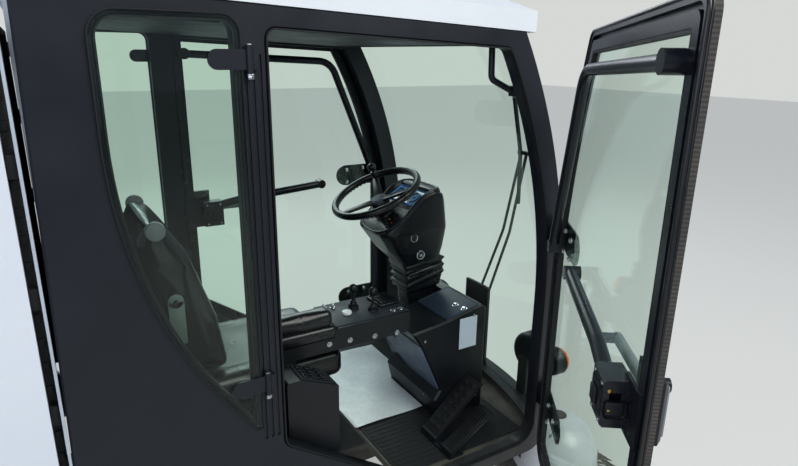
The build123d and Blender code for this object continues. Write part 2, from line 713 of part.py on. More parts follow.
def hatch():
    gap = 3
    rear = HOPPER_REAR - gap
    door = box(rear - HATCH_T, rear, -BODY_HALF + 4, BODY_HALF - 4, HOPPER_FOOT, BODY_TOP - 6)
    outer = rear - HATCH_T
    door -= box(outer + 14, rear + 1, -BODY_HALF + 40, BODY_HALF - 40, HOPPER_FOOT + 36, BODY_TOP - 42)
    for z0, z1 in ((760, 1240), (1320, 1800)):
        door -= box(outer - 1, outer + 5, -BODY_HALF + 80, BODY_HALF - 80, z0, z1)
    # Pull bar low on the hatch.
    door += box(outer - 30, outer + 1, -140, -120, 692, 712) + box(outer - 30, outer + 1, 120, 140, 692, 712)
    door += cyl(outer - 26, -160, 702, (0, 1, 0), 12, 320)
    for side in (-1, 1):
        y = side * 380
        x = HATCH_AXIS_X
        strap = cyl(x, y - 28, HATCH_AXIS_Z, (0, 1, 0), 22, 56)
        strap += box(x - 25, x - 6, y - 28, y + 28, BODY_TOP - 40, HATCH_AXIS_Z)
        strap -= cyl(x, y - 40, HATCH_AXIS_Z, (0, 1, 0), 12 + RUN_GAP, 80)
        door += strap
    return door


def housing():
    # Engine housing: hollow, open below, with louvre slots in both sides.
    shell = box(HOUSING_REAR, BODY_FRONT, -BODY_HALF, BODY_HALF, BODY_FOOT, BODY_TOP)
    shell = fillet(shell.edges().filter_by(Axis.X).group_by(Axis.Z)[-1], 60)
    w = BODY_WALL
    inner = BODY_HALF - w
    shell -= box(HOUSING_REAR + w, BODY_FRONT - w, -inner, inner, BODY_FOOT - 1, BODY_TOP - w)
    for step in range(LOUVRES):
        z = LOUVRE_Z + LOUVRE_STEP * step
        shell -= box(HOUSING_REAR + 110, BODY_FRONT - 110, -BODY_HALF - 1, BODY_HALF + 1, z, z + LOUVRE_H)
    shell -= cyl(HOUSING_REAR + w + 1, 0, INLET_Z, (-1, 0, 0), DUCT_R + 3, w + 2)
    return shell


def engine():
    x0, x1, y0, y1, top = ENGINE_BOX
    block = box(x0, x1, y0, y1, RAIL_TOP, top)
    return chamfer(block.edges().group_by(Axis.Z)[-1], 25)


def duct_pipe():
    # Suction pipe from the nozzle up inside the housing and back to the hopper's inlet.
    points = [(DUCT_X, 0, NOZZLE_TOP), (DUCT_X, 0, INLET_Z), (HOUSING_REAR - 4, 0, INLET_Z)]
    bend = 1.5 * DUCT_R
    return pipe(points, [bend], DUCT_R) - pipe(points, [bend], DUCT_R - DUCT_WALL)


def nozzle():
    # Suction mouth: a wide hood, open below, hung from the rails by two straps.
    x = DUCT_X
    w = NOZZLE_WALL
    hood = polygon((x - 170, NOZZLE_FOOT), (x - 130, 120), (x - 110, NOZZLE_TOP), (x + 110, NOZZLE_TOP),
                   (x + 130, 120), (x + 150, NOZZLE_FOOT))
    cavity = polygon((x - 170 + w, NOZZLE_FOOT - 1), (x - 130 + w, 120), (x - 110 + w, NOZZLE_TOP - w),
                     (x + 110 - w, NOZZLE_TOP - w), (x + 130 - w, 120), (x + 150 - w, NOZZLE_FOOT - 1))
    shell = slab(hood, -NOZZLE_HALF, NOZZLE_HALF) - slab(cavity, -NOZZLE_HALF + w, NOZZLE_HALF - w)
    shell -= cyl(x, 0, NOZZLE_TOP - w - 1, (0, 0, 1), DUCT_R - DUCT_WALL, w + 2)
    for side in (-1, 1):
        y0, y1 = sorted((side * (RAIL_Y - 12), side * (RAIL_Y + 12)))
        shell += box(x - 30, x + 30, y0, y1, NOZZLE_TOP - 1, RAIL_BOTTOM)
    return shell


def skirt():
    # Lower side panel of the rear body with the wheel arch, for the left side.
    top = HOPPER_FOOT - 8
    face = polygon((BODY_FRONT, BODY_FOOT - 4), (BODY_FRONT + 120, SKIRT_FOOT), (SKIRT_REAR, SKIRT_FOOT),
                   (SKIRT_REAR, top), (HOUSING_REAR, top), (HOUSING_REAR, BODY_FOOT - 4))
    panel = slab(face, BODY_HALF - BODY_WALL, BODY_HALF)
    panel -= cyl(REAR_AXLE_X, BODY_HALF - BODY_WALL - 1, WHEEL_R, (0, 1, 0), ARCH_R, BODY_WALL + 2)
    # The tipping hopper turns through this clearance.
    panel -= cyl(TIP_X, BODY_HALF - BODY_WALL - 1, TIP_Z, (0, 1, 0), TIP_CLEAR, BODY_WALL + 2)
    return panel


def cab_floor():
    # Raised platform behind and a low floor in front, carried forward to the bumper's skin.
    t = FLOOR_T
    flat = 950
    top = [(flat, SILL_Z), (430, SILL_Z), (300, PLATFORM_Z), (PANEL_REAR + 12, PLATFORM_Z)]
    low = [(PANEL_REAR + 12, PLATFORM_Z - t), (293, PLATFORM_Z - t), (423, SILL_Z - t), (flat, SILL_Z - t)]
    floor = slab(polygon(*top, *low), -CAB_IN, CAB_IN)
    reach = PLAN_R + BUMPER_OUT - BUMPER_SKIN
    front = cyl(PLAN_X, 0, SILL_Z - t, (0, 0, 1), reach, t)
    front = front & box(flat - 1, BEYOND, -CAB_IN, CAB_IN, 0, BEYOND)
    base = PILLAR_A + PLAN_SAG - BUMPER_T
    rim_up = front_shell(base, base + t, SILL_Z - 1, BUMPER_TOP - BUMPER_SKIN, CAB_IN)
    return floor + front + rim_up


def rear_wall():
    top = roof_line(PANEL_REAR + FLOOR_T, ROOF_UNDER)
    return box(PANEL_REAR, PANEL_REAR + FLOOR_T, -CAB_IN, CAB_IN, PLATFORM_Z - FLOOR_T, top)


def cross_rails():
    # Front header over the glass and a rear header, between the side frames, with the entry handle.
    z = roof_line(760, ROOF_UNDER)
    front = box(700, 770, -CAB_IN, CAB_IN, z - 45, z - 1)
    rear_z = roof_line(PANEL_REAR + 80, ROOF_UNDER)
    back = box(PANEL_REAR + 12, PANEL_REAR + 80, -CAB_IN, CAB_IN, rear_z - 50, rear_z - 1)
    y = -CAB_IN + 26
    end = front_x(0, ENTRY_LOW)
    handle = pipe([(744, y, z - 30), (748, y, ENTRY_LOW + 38), (end + 12, y, ENTRY_LOW)], [24], 10)
    handle += box(end + 6, end + 34, -CAB_IN, y + 8, ENTRY_LOW - 16, ENTRY_LOW + 16)
    return front + back + handle


def roof():
    # Roof moulding: follows the fall of the roof, bowed in plan at the front, bevelled edge, hollow below.
    rear = PANEL_REAR - 20
    front = front_x(PILLAR_A, HEADER_Z) + 34
    plan = make_face([
        Line((rear, -CAB_HALF), (rear, CAB_HALF)),
        Line((rear, CAB_HALF), (front, CAB_HALF)),
        ThreePointArc((front, CAB_HALF), (front + PLAN_SAG + 14, 0), (front, -CAB_HALF)),
        Line((front, -CAB_HALF), (rear, -CAB_HALF)),
    ])
    slab_up = extrude(plan, amount=ROOF_H)
    bevel = slab_up.edges().group_by(Axis.Z)[-1]
    slab_up = chamfer(bevel, ROOF_H - ROOF_BAND, 90)
    hollow = offset(plan, amount=-34)
    slab_up -= extrude(hollow, amount=ROOF_H - 40)
    tilt = degrees(atan2(ROOF_SLOPE, 1))
    return Pos(0, 0, ROOF_UNDER) * Rot(0, tilt, 0) * slab_up


def front_shell(inner, outer, z0, z1, half):
    # A wall bowed in plan and in side view, between two offsets from the pillar line.
    if z1 > BOW_Z:
        edges = [
            *bow_edges(outer, z0, z1),
            Line((front_x(outer, z1), z1), (front_x(inner, z1), z1)),
            *bow_edges(inner, z0, z1),
            Line((front_x(inner, z0), z0), (front_x(outer, z0), z0)),
        ]
    else:
        low = [(front_x(inner, z0), z0), (front_x(outer, z0), z0)]
        high = [(front_x(outer, z1), z1), (front_x(inner, z1), z1)]
        corners = low + high
        edges = [Line(corners[i], corners[(i + 1) % 4]) for i in range(4)]
    face = side_face(edges)
    axis = Axis((PLAN_X, 0, 0), (0, 0, 1))
    turn = revolve(face, axis=axis, revolution_arc=56)
    turn = turn.rotate(axis, -28)
    return turn & box(PLAN_X, BEYOND, -half, half, 0, BEYOND)


def windscreen():
    # Bowed glass, with a low pane down to the bumper at each side of the nose.
    base = PILLAR_A + PLAN_SAG
    glass = front_shell(base - GLASS_T, base, BUMPER_TOP, SCREEN_TOP, CAB_IN)
    return glass - box(PLAN_X, BEYOND, -NOSE_HALF - 2, NOSE_HALF + 2, 0, SCREEN_FOOT)


def nose():
    outer = PILLAR_A + PLAN_SAG + NOSE_PROUD
    return front_shell(outer - NOSE_T, outer, BUMPER_TOP, SCREEN_FOOT - 2, NOSE_HALF)


def bumper():
    # Pressed bar below the nose: front skin, shelf and foot, open to the rear.
    inner = PILLAR_A + PLAN_SAG - BUMPER_T
    outer = PILLAR_A + PLAN_SAG + BUMPER_OUT
    low = SILL_Z - SILL_H
    t = BUMPER_SKIN
    bar = front_shell(inner, outer, low, BUMPER_TOP, CAB_IN)
    return bar - front_shell(inner - 1, outer - t, low + t, BUMPER_TOP - t, CAB_IN + 1)


def headlamp():
    # Round lamp bucket on a post from the bumper, and the indicator's housing on the pillar, left side.
    y = LAMP_Y
    bucket = cyl(LAMP_X, y, LAMP_Z, (1, 0, 0), LAMP_R, 64)
    bucket = fillet(bucket.edges().group_by(Axis.X)[0], 24)
    bucket -= cyl(LAMP_X + 52, y, LAMP_Z, (1, 0, 0), LAMP_R - 8, 20)
    post = box(LAMP_X - 14, LAMP_X + 16, y - 28, y + 28, BUMPER_TOP, LAMP_Z - 20)
    post = fillet(post.edges().filter_by(Axis.Z), 8)
    cup = cyl(INDICATOR_X - 50, INDICATOR_Y, INDICATOR_Z, (1, 0, 0), INDICATOR_R + 3, 50)
    cup = fillet(cup.edges().group_by(Axis.X)[0], 16)
    pillar = DOOR_FRONT + PILLAR_A
    stem = box(pillar, INDICATOR_X - 40, CAB_IN + 4, CAB_IN + 26, INDICATOR_Z - 18, INDICATOR_Z + 18)
    return [*(bucket + post).solids(), *(cup + stem).solids()]


def amber_lamps():
    # Indicator lenses and the warning beacon on the rear body.
    lens = cyl(INDICATOR_X, INDICATOR_Y, INDICATOR_Z, (1, 0, 0), INDICATOR_R, 26)
    lens = fillet(lens.edges().group_by(Axis.X)[-1], 16)
    beacon = cyl(BEACON_X, 0, BODY_TOP, (0, 0, 1), 58, 104)
    beacon = fillet(beacon.edges().group_by(Axis.Z)[-1], 26)
    return Compound(children=[*lens.solids(), *mirrored(lens).solids(), *beacon.solids()])


def rear_lamp():
    outer = BODY_HALF - BODY_WALL - 4
    lens = box(RAIL_REAR - 38, RAIL_REAR - 2, outer - REAR_LAMP_W, outer, RAIL_TOP, RAIL_TOP + 72)
    return chamfer(lens.edges().group_by(Axis.X)[0], 6)


def quarter_glass():
    return slab(quarter_face(QUARTER_LAP), CAB_HALF, CAB_HALF + GLASS_T)


def quarter_hinge(z):
    # Hinge plate and knuckle at the front edge of the quarter window, left side.
    y = CAB_HALF + GLASS_T
    half = QUARTER_HINGE_HALF
    plate = box(QUARTER_PLATE, -47, y, y + 5, z - half, z + half)
    plate = fillet(plate.edges().filter_by(Axis.Y).group_by(Axis.X)[0], half - 1)
    knuckle_part = cyl(-45, y + 6, z - half - 9, (0, 0, 1), 8, 2 * half + 18)
    foot = box(-56, -24, CAB_HALF, y + 5, z - half, z + half)
    return plate + knuckle_part + foot


def glass_x(y, z):
    # The outer face of the windscreen.
    return PLAN_X + sqrt((front_x(PILLAR_A + PLAN_SAG, z) - PLAN_X) ** 2 - y ** 2)


def wiper():
    # Pivot on the nose, two thin arms and the blade, in front of the glass.
    pivot_y, pivot_z = WIPER_PIVOT
    low_y, low_z = WIPER_LOW
    high_y, high_z = WIPER_HIGH
    base_x = FRONT_MID + NOSE_PROUD + WIPER_SEAT
    part = cyl(base_x, pivot_y, pivot_z, (1, 0, 0), 16, 34)
    part += cyl(base_x, pivot_y - 60, pivot_z, (1, 0, 0), 12, 34)
    mid_y = (low_y + high_y) / 2
    mid_z = (low_z + high_z) / 2
    end = (glass_x(mid_y, mid_z) + 26, mid_y, mid_z)
    for shift in (0, -60):
        start = (base_x + 28, pivot_y + shift, pivot_z)
        half_y = (pivot_y + mid_y) / 2 + 0.75 * shift
        half_z = (pivot_z + mid_z) / 2
        half_way = (glass_x(half_y, half_z) + 24, half_y, half_z)
        part += pipe([start, half_way, (end[0], mid_y + shift / 2, mid_z)], [300], WIPER_R)
    part += straight((end[0], mid_y + 14, mid_z), (end[0], mid_y - 44, mid_z), 8)
    part += pipe([(glass_x(low_y, low_z) + 16, low_y, low_z), (end[0] - 4, mid_y, mid_z),
                  (glass_x(high_y, high_z) + 16, high_y, high_z)], [400], 8)
    return part


def brush_arm():
    # Boss on the pivot, arm and motor over the brush, left side.
    boss = cyl(ARM_X, ARM_Y, ARM_Z - 30, (0, 0, 1), 36, 60)
    dx = BRUSH_X - ARM_X
    dy = BRUSH_Y - ARM_Y
    length = hypot(dx, dy)
    bar = box(20, length - 120, -28, 28, ARM_Z - 26, ARM_Z + 6)
    bar += box(length - 190, length, -28, 28, 170, 215)
    bar += box(length - 190, length - 120, -28, 28, 170, ARM_Z - 4)
    bar = Pos(ARM_X, ARM_Y, 0) * Rot(0, 0, degrees(atan2(dy, dx))) * bar
    motor = cyl(BRUSH_X, BRUSH_Y, 150, (0, 0, 1), 62, 110)
    spindle = cyl(BRUSH_X, BRUSH_Y, PLATE_Z - 4, (0, 0, 1), 18, 90)
    post = cyl(BRUSH_X, BRUSH_Y, 255, (0, 0, 1), COVER_SEAT_R - 8, COVER_SEAT - 255)
    arm = boss + bar + motor + spindle + post
    arm -= cyl(ARM_X, ARM_Y, ARM_Z - 60, (0, 0, 1), 18 + RUN_GAP, 200)
    return arm


def brush_cover():
    # Moulded dome over the brush: a turned cap with an opening for the arm.
    rise = COVER_TOP - COVER_FOOT
    wall = 5
    brim = (COVER_R - 8, COVER_FOOT + 40)
    shoulder = (COVER_R * 0.74, COVER_FOOT + rise * 0.72)
    outer = side_face([
        Line((0, COVER_FOOT), (COVER_R, COVER_FOOT)),
        Line((COVER_R, COVER_FOOT), brim),
        ThreePointArc(brim, shoulder, (0, COVER_TOP)),
        Line((0, COVER_TOP), (0, COVER_FOOT)),
    ])
    brim_in = (brim[0] - wall, brim[1])
    shoulder_in = (shoulder[0] - wall, shoulder[1] - wall)
    inner = side_face([
        Line((0, COVER_FOOT - 1), (COVER_R - wall, COVER_FOOT - 1)),
        Line((COVER_R - wall, COVER_FOOT - 1), brim_in),
        ThreePointArc(brim_in, shoulder_in, (COVER_SEAT_R, COVER_SEAT)),
        Line((COVER_SEAT_R, COVER_SEAT), (0, COVER_SEAT)),
        Line((0, COVER_SEAT), (0, COVER_FOOT - 1)),
    ])
    dome = revolve(outer, axis=Axis.Z) - revolve(inner, axis=Axis.Z)
    dome = Pos(BRUSH_X, BRUSH_Y, 0) * dome
    heading = degrees(atan2(BRUSH_Y - ARM_Y, BRUSH_X - ARM_X))
    way = Pos(BRUSH_X, BRUSH_Y, 0) * Rot(0, 0, heading) * box(-260, -90, -45, 45, 150, 320)
    return dome - way


def brush():
    # Brush plate with a fan of tine bundles, each a flat tapered blade.
    plate = cyl(0, 0, PLATE_Z, (0, 0, 1), PLATE_R, 22)
    plate += cyl(0, 0, PLATE_Z + 20, (0, 0, 1), 45, 34)
    root_z = PLATE_Z + 1
    blade_side = polygon((PLATE_R - 40, root_z), (PLATE_R - 8, root_z), (TINE_REACH, TINE_TIP + 4),
                         (TINE_REACH - 14, TINE_TIP))
    blade = Pos(0, -9, 0) * extrude(blade_side, amount=18, dir=(0, 1, 0))
    for step in range(TINE_COUNT):
        plate += Rot(0, 0, 360 * step / TINE_COUNT) * blade
    plate -= cyl(0, 0, PLATE_Z - 5, (0, 0, 1), 18 + RUN_GAP, 90)
    return Pos(BRUSH_X, BRUSH_Y, 0) * plate


def seat():
    # Cushion and back of the driver's seat.
    cushion = box(SEAT_X - 230, SEAT_X + 290, -250, 250, SEAT_TOP - 130, SEAT_TOP)
    cushion = fillet(cushion.edges(), 40)
    outline = polygon(*[(SEAT_X + x, SEAT_TOP + z) for x, z in SEAT_BACK])
    back = slab(outline, -SEAT_BACK_HALF, SEAT_BACK_HALF)
    back = fillet(back.edges().filter_by(Axis.Y), 24)
    back = chamfer(back.edges().group_by(Axis.Y)[0] + back.edges().group_by(Axis.Y)[-1], 20)
    return cushion, back


def seat_base():
    base = box(SEAT_X - 190, SEAT_X + 220, -200, 200, PLATFORM_Z, SEAT_TOP - 130)
    hinge = box(SEAT_X - 260, SEAT_X - 231, -120, 120, SEAT_TOP - 140, SEAT_TOP - 42)
    link = box(SEAT_X - 260, SEAT_X - 180, -120, 120, SEAT_TOP - 150, SEAT_TOP - 131)
    return base + hinge + link


def console():
    # Side console: arm pad carrier and switch box with two levers, on a post from the platform.
    panel = box(284, 596, -322, -118, 846, 925)
    panel = chamfer(panel.edges().filter_by(Axis.Y).group_by(Axis.Z)[-1], 12)
    panel = chamfer(panel.edges().filter_by(Axis.Z).group_by(Axis.X)[-1], 14)
    carrier = box(60, 284, -322, -262, 846, 930)
    post = box(80, 140, -322, -262, PLATFORM_Z, 847)
    for x, y in ((420, -190), (470, -250)):
        panel += cyl(x, y, 920, (0, 0, 1), 18, 22)
        panel += cyl(x, y, 920, (0, 0, 1), 6, 80)
        panel += Pos(x, y, 1000) * Sphere(14)
    return panel + carrier + post


def arm_pad():
    pad = box(50, 283, -330, -254, 930.3, 1000)
    return fillet(pad.edges(), 22)


def switch_box():
    # Box beside the seat with a top panel that falls forward.
    side = polygon((35, PLATFORM_Z), (201, PLATFORM_Z), (201, 838), (76, 892), (35, 892))
    part = slab(side, -CAB_IN + SWITCH_BOX_CLEAR, -CAB_IN + SWITCH_BOX_CLEAR + SWITCH_BOX_W)
    return fillet(part.edges().filter_by(Axis.Y).group_by(Axis.Z)[-1], 8)


def column():
    # Instrument pod with a hooded panel, tapering to the clamp and the neck.
    rings = []
    for z, x0, x1, half, corner in POD_RINGS:
        ring = RectangleRounded(x1 - x0, 2 * half, corner)
        rings.append(Pos((x0 + x1) / 2, 0, z) * ring)
    pod = loft(rings, ruled=True)
    profile = polygon((500, 1100), *POD_SIDE, (920, 1200), (920, 900), (500, 900))
    pod &= slab(profile, -POD_HALF - 1, POD_HALF + 1)
    pod -= slab(polygon(*POD_PANEL), -POD_HALF + 24, POD_HALF - 24)
    clamp = slab(polygon(*CLAMP_SIDE), -62, 62)
    clamp = chamfer(clamp.edges().filter_by(Axis.Y), 5)
    for lift in (0, 30, 60):
        rib = polygon((726, 890 + lift), (726, 900 + lift), (918, 946 + lift), (918, 936 + lift))
        clamp += slab(rib, -68, 68)
    neck = slab(polygon((742, 890), (777, NECK_FOOT), (884, NECK_FOOT), (900, 890)), -52, 52)
    neck = fillet(neck.edges().filter_by(lambda e: abs(e.center().Z - 790) < 40), 16)
    for step in range(5):
        z = NECK_FOOT + 12 + 19 * step
        climb = z - NECK_FOOT
        rib = box(769 - 0.16 * climb, 892 + 0.1 * climb, -59, 59, z, z + 9)
        neck += fillet(rib.edges().filter_by(Axis.Z), 16)
    return pod + clamp + neck


def steering_axis():
    tilt = radians(COLUMN_TILT)
    return Vector(-sin(tilt), 0, cos(tilt))


def sleeve():
    wx, wz = WHEEL_CENTRE
    up = steering_axis()
    start = Vector(wx, 0, wz) - up * 190
    return cyl(start.X, 0, start.Z, up, 30, 116)


def column_unit():
    wx, wz = WHEEL_CENTRE
    up = steering_axis()
    start = Vector(wx, 0, wz) - up * 160
    bore = cyl(start.X, 0, start.Z, up, 14 + RUN_GAP, 300)
    return column() + sleeve() - bore


def steering_wheel():
    wx, wz = WHEEL_CENTRE
    up = steering_axis()
    plane = Plane(origin=(wx, 0, wz), z_dir=up)
    grip = 14
    ring_r = STEERING_R - grip
    wheel = plane * Torus(ring_r, grip)
    wheel += plane * Pos(0, 0, -40) * Cylinder(40, 52)
    wheel += plane * Pos(0, 0, -95) * Cylinder(14, 120)
    for angle in SPOKE_ANGLES:
        wheel += plane * Rot(0, 0, angle) * Pos(ring_r / 2, 0, -14) * Rot(0, -9, 0) * Box(ring_r, 30, 12)
    return wheel


def heater_box():
    # Box on the floor behind the glass, with a bay in its rear for the steering neck.
    front = front_x(-22, 500)
    top = HEATER_TOP
    face = polygon((front, SILL_Z), (front, top - 18), (front - 26, top), *HEATER_REAR, (745, SILL_Z))
    body = slab(face, -HEATER_RIGHT, HEATER_LEFT)
    body = chamfer(body.edges().group_by(Axis.Y)[0] + body.edges().group_by(Axis.Y)[-1], 7)
    return body - box(500, 905, -76, HEATER_LEFT + 1, NECK_FOOT, BEYOND)


def pedals():
    # Two treadles hinged at their low rear end on one base plate.
    x, z = TREADLE_FOOT
    part = box(x - 18, x + 46, TREADLES[1][0], TREADLES[0][1], SILL_Z, SILL_Z + 10)
    for y0, y1, tip_x, tip_z in TREADLES:
        length = hypot(tip_x - x, tip_z - z)
        nx = -(tip_z - z) / length * TREADLE_T
        nz = (tip_x - x) / length * TREADLE_T
        part += slab(polygon((x, z), (tip_x, tip_z), (tip_x + nx, tip_z + nz), (x + nx, z + nz)), y0, y1)
        part += cyl(x - 2, y0, z + 3, (0, 1, 0), 12, y1 - y0)
        part += box(x - 10, x + 8, y0 + 8, y1 - 8, SILL_Z, z + 3)
        middle = (y0 + y1) / 2
        stay = polygon((x + 22, SILL_Z), (x + 66, SILL_Z), (x + 106, 480), (x + 94, 480))
        part += slab(stay, middle - 10, middle + 10)
    return part


def build():
    nodes = {}
    nodes["chassis"] = chassis()
    nodes["front_axle"] = front_axle()
    nodes["rear_axle"] = rear_axle()
    left = knuckle()
    nodes["knuckle_left"] = left
    nodes["knuckle_right"] = mirrored(left)
    nodes["tie_rod"] = tie_rod()
    tyre_shape = tyre()
    rim_shape = rim()
    for name, x in (("front", FRONT_AXLE_X), ("rear", REAR_AXLE_X)):
        nodes[f"tyre_{name}_left"] = place_wheel(tyre_shape, x)
        nodes[f"rim_{name}_left"] = place_wheel(rim_shape, x)
        nodes[f"tyre_{name}_right"] = mirrored(place_wheel(tyre_shape, x))
        nodes[f"rim_{name}_right"] = mirrored(place_wheel(rim_shape, x))
    frame = side_frame()
    nodes["side_frame_left"] = frame
    nodes["side_frame_right"] = mirrored(frame)
    nodes["cab_floor"] = cab_floor()
    nodes["cab_rear_wall"] = rear_wall()
    nodes["cab_headers"] = cross_rails()
    nodes["roof"] = roof()
    nodes["windscreen"] = windscreen()
    nodes["nose_panel"] = nose()
    nodes["bumper"] = bumper()
    lamps = headlamp()
    nodes["headlamps"] = Compound(children=[*lamps, *[mirrored(part) for part in lamps]])
    nodes["amber_lamps"] = amber_lamps()
    nodes["rear_lamps"] = pair(rear_lamp())
    nodes["quarter_glass"] = pair(quarter_glass())
    hinges = [quarter_hinge(z) for z in QUARTER_HINGES]
    nodes["quarter_hinges"] = Compound(children=[*hinges, *[mirrored(part) for part in hinges]])
    nodes["wiper"] = wiper()
    door = {"frame": door_shell() + door_grab(), "glass": door_glass()}
    hinge = Axis((HINGE_X, -HINGE_Y, 0), (0, 0, 1))
    for name, shape in door.items():
        nodes[f"door_{name}_left"] = shape
        nodes[f"door_{name}_right"] = mirrored(shape).rotate(hinge, RIGHT_DOOR_OPEN)
    cushion, back = seat()
    nodes["seat_cushion"] = cushion
    nodes["seat_back"] = back
    nodes["seat_base"] = seat_base()
    nodes["console"] = console()
    nodes["arm_pad"] = arm_pad()
    nodes["switch_box"] = switch_box()
    nodes["steering_column"] = column_unit()
    nodes["steering_wheel"] = steering_wheel()
    nodes["heater_box"] = heater_box()
    nodes["pedals"] = pedals()
    nodes["engine_block"] = engine()
    nodes["engine_housing"] = housing()
    nodes["body_skirts"] = pair(skirt())
    nodes["hopper"] = hopper()
    nodes["hopper_hatch"] = hatch()
    for side_name, side_sign in (("left", 1), ("right", -1)):
        nodes[f"lift_barrel_{side_name}"] = lift_barrel(side_sign)
        nodes[f"lift_rod_{side_name}"] = lift_rod(side_sign)
    nodes["suction_nozzle"] = nozzle()
    nodes["suction_duct"] = duct_pipe()
    arm = brush_arm()
    cover = brush_cover()
    fan = brush()
    for name, shape in (("brush_arm", arm), ("brush_cover", cover), ("brush", fan)):
        nodes[f"{name}_left"] = shape
        nodes[f"{name}_right"] = mirrored(shape)
    return nodes


def whole_box(nodes):
    boxes = [shape.bounding_box() for shape in nodes.values()]
    low = [min(b.min.X for b in boxes), min(b.min.Y for b in boxes), min(b.min.Z for b in boxes)]
    high = [max(b.max.X for b in boxes), max(b.max.Y for b in boxes), max(b.max.Z for b in boxes)]
    return low, high


NODES = build()
LOW, HIGH = whole_box(NODES)
CENTRE = ((LOW[0] + HIGH[0]) / 2, (LOW[1] + HIGH[1]) / 2)

if __name__ == "__main__":
    os.makedirs("parts", exist_ok=True)
    for node, shape in NODES.items():
        export_step(Pos(-CENTRE[0], -CENTRE[1], 0) * shape, f"parts/{node}.step")
    print("box", [round(v, 1) for v in LOW], [round(v, 1) for v in HIGH], "centre", CENTRE)
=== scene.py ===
"""Looks for the compact road sweeper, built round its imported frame."""
import json
import random
from math import atan2, cos, hypot, pi, radians, sin, sqrt

import bmesh
import bpy
from mathutils import Matrix, Vector


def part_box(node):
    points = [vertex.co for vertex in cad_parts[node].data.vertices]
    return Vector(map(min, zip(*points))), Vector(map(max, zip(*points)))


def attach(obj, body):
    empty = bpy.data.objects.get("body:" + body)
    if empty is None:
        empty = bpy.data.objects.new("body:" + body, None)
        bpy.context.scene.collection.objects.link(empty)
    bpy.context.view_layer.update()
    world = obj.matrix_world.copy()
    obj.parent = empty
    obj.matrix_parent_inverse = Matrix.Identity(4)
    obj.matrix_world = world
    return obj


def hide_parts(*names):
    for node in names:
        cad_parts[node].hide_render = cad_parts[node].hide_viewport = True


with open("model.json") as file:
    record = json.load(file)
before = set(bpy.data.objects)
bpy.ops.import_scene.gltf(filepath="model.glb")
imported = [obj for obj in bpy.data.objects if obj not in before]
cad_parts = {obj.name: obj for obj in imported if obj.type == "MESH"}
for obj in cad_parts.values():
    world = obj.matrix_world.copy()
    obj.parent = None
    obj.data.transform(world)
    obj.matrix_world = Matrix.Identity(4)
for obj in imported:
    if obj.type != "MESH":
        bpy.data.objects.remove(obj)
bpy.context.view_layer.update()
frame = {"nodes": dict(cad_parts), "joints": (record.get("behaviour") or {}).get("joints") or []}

# Everything is drawn in millimetres from the drawing zero that the solids use: x = 0 at the front
# edge of the door's rear pillar, y = 0 on the machine's mid-plane, z = 0 on the ground.
MM = 0.001
AHEAD = (1, 0, 0)
ACROSS = (0, 1, 0)
UP = (0, 0, 1)
REAR_WALL_X = -512
floor_low, floor_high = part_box("cab_floor")
ZERO = Vector((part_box("cab_rear_wall")[0].x - REAR_WALL_X * MM, (floor_low.y + floor_high.y) / 2, 0))
TO_FRAME = Matrix.Translation(ZERO) @ Matrix.Scale(MM, 4)
TO_DRAWING = TO_FRAME.inverted()
MIRROR = Matrix.Scale(-1, 4, ACROSS)
joints = {joint["name"]: joint for joint in frame["joints"]}


def node_box(name):
    """A solid's box in drawing millimetres."""
    low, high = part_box(name)
    return TO_DRAWING @ low, TO_DRAWING @ high


def joint_place(name):
    return TO_DRAWING @ Vector(joints[name]["pos_m"])


# Driving sizes, read back from the frame where it has them.
CAB_IN = node_box("cab_floor")[1].y
CAB_HALF = node_box("quarter_glass")[1].y - 6
BODY_HALF = node_box("engine_housing")[1].y
BODY_TOP = node_box("engine_housing")[1].z
FLOOR_Z = 400
PLATFORM_Z = node_box("cab_floor")[1].z
HINGE = joint_place("door_left_swing")
HINGE_R = joint_place("door_right_swing")
DOOR_OPEN = -joints["door_right_swing"]["range_deg"][0]
GLASS_T = 6
DOOR_T = 20
DOOR_IN = HINGE.y - DOOR_T / 2
DOOR_OUT = HINGE.y + DOOR_T / 2
WHEEL_AT = joint_place("steering_wheel_turn")
WHEEL_UP = Vector(joints["steering_wheel_turn"]["axis"])
WHEEL_R = node_box("tyre_front_left")[1].z / 2
DOOR_PLACES = {
    "left": Matrix.Identity(4),
    "right": Matrix.Translation(HINGE_R) @ Matrix.Rotation(radians(DOOR_OPEN), 4, "Z")
    @ Matrix.Translation(-HINGE_R) @ MIRROR,
}
SIDES = {"left": Matrix.Identity(4), "right": MIRROR}


# Colours and materials

def colour(code):
    """Linear RGBA from an sRGB hex value."""
    parts = [int(code[i:i + 2], 16) / 255 for i in (1, 3, 5)]
    linear = [c / 12.92 if c <= 0.04045 else ((c + 0.055) / 1.055) ** 2.4 for c in parts]
    return (*linear, 1)


def add(tree, kind, inputs=None, **settings):
    """Adds one node with its settings, values and links."""
    made = tree.nodes.new(kind)
    for name, value in settings.items():
        setattr(made, name, value)
    for name, value in (inputs or {}).items():
        socket = made.inputs[name]
        if isinstance(value, bpy.types.NodeSocket):
            tree.links.new(value, socket)
        else:
            socket.default_value = value
    return made


# Ribs and threads are given by their own width, so a crest and its trough take two widths. A wave
# texture at scale 1 has a crest every 0.314 m, and two widths over that is about this number.
WAVE_SCALE = 6.3
ROAD_DUST = "#8c8375"
# Painted shade laid in bands along ribs: the colour that their crests are darkened towards.
RIB_PAINTED_SHADE = "#1c1b1a"


def per_metre(millimetres):
    """A texture's scale from the real size of one grain, thread or cloud."""
    return 1000 / millimetres


def new_material(name):
    """An empty material, its node tree and the piece's own coordinates."""
    material = bpy.data.materials.new(name)
    material.use_nodes = True
    tree = material.node_tree
    tree.nodes.clear()
    return material, tree, add(tree, "ShaderNodeTexCoord").outputs["Object"]


def mixed(tree, share, first, second):
    """The output of a colour mix."""
    mix = add(tree, "ShaderNodeMix", {"Factor": share, "A": first, "B": second}, data_type="RGBA")
    return mix.outputs["Result"]


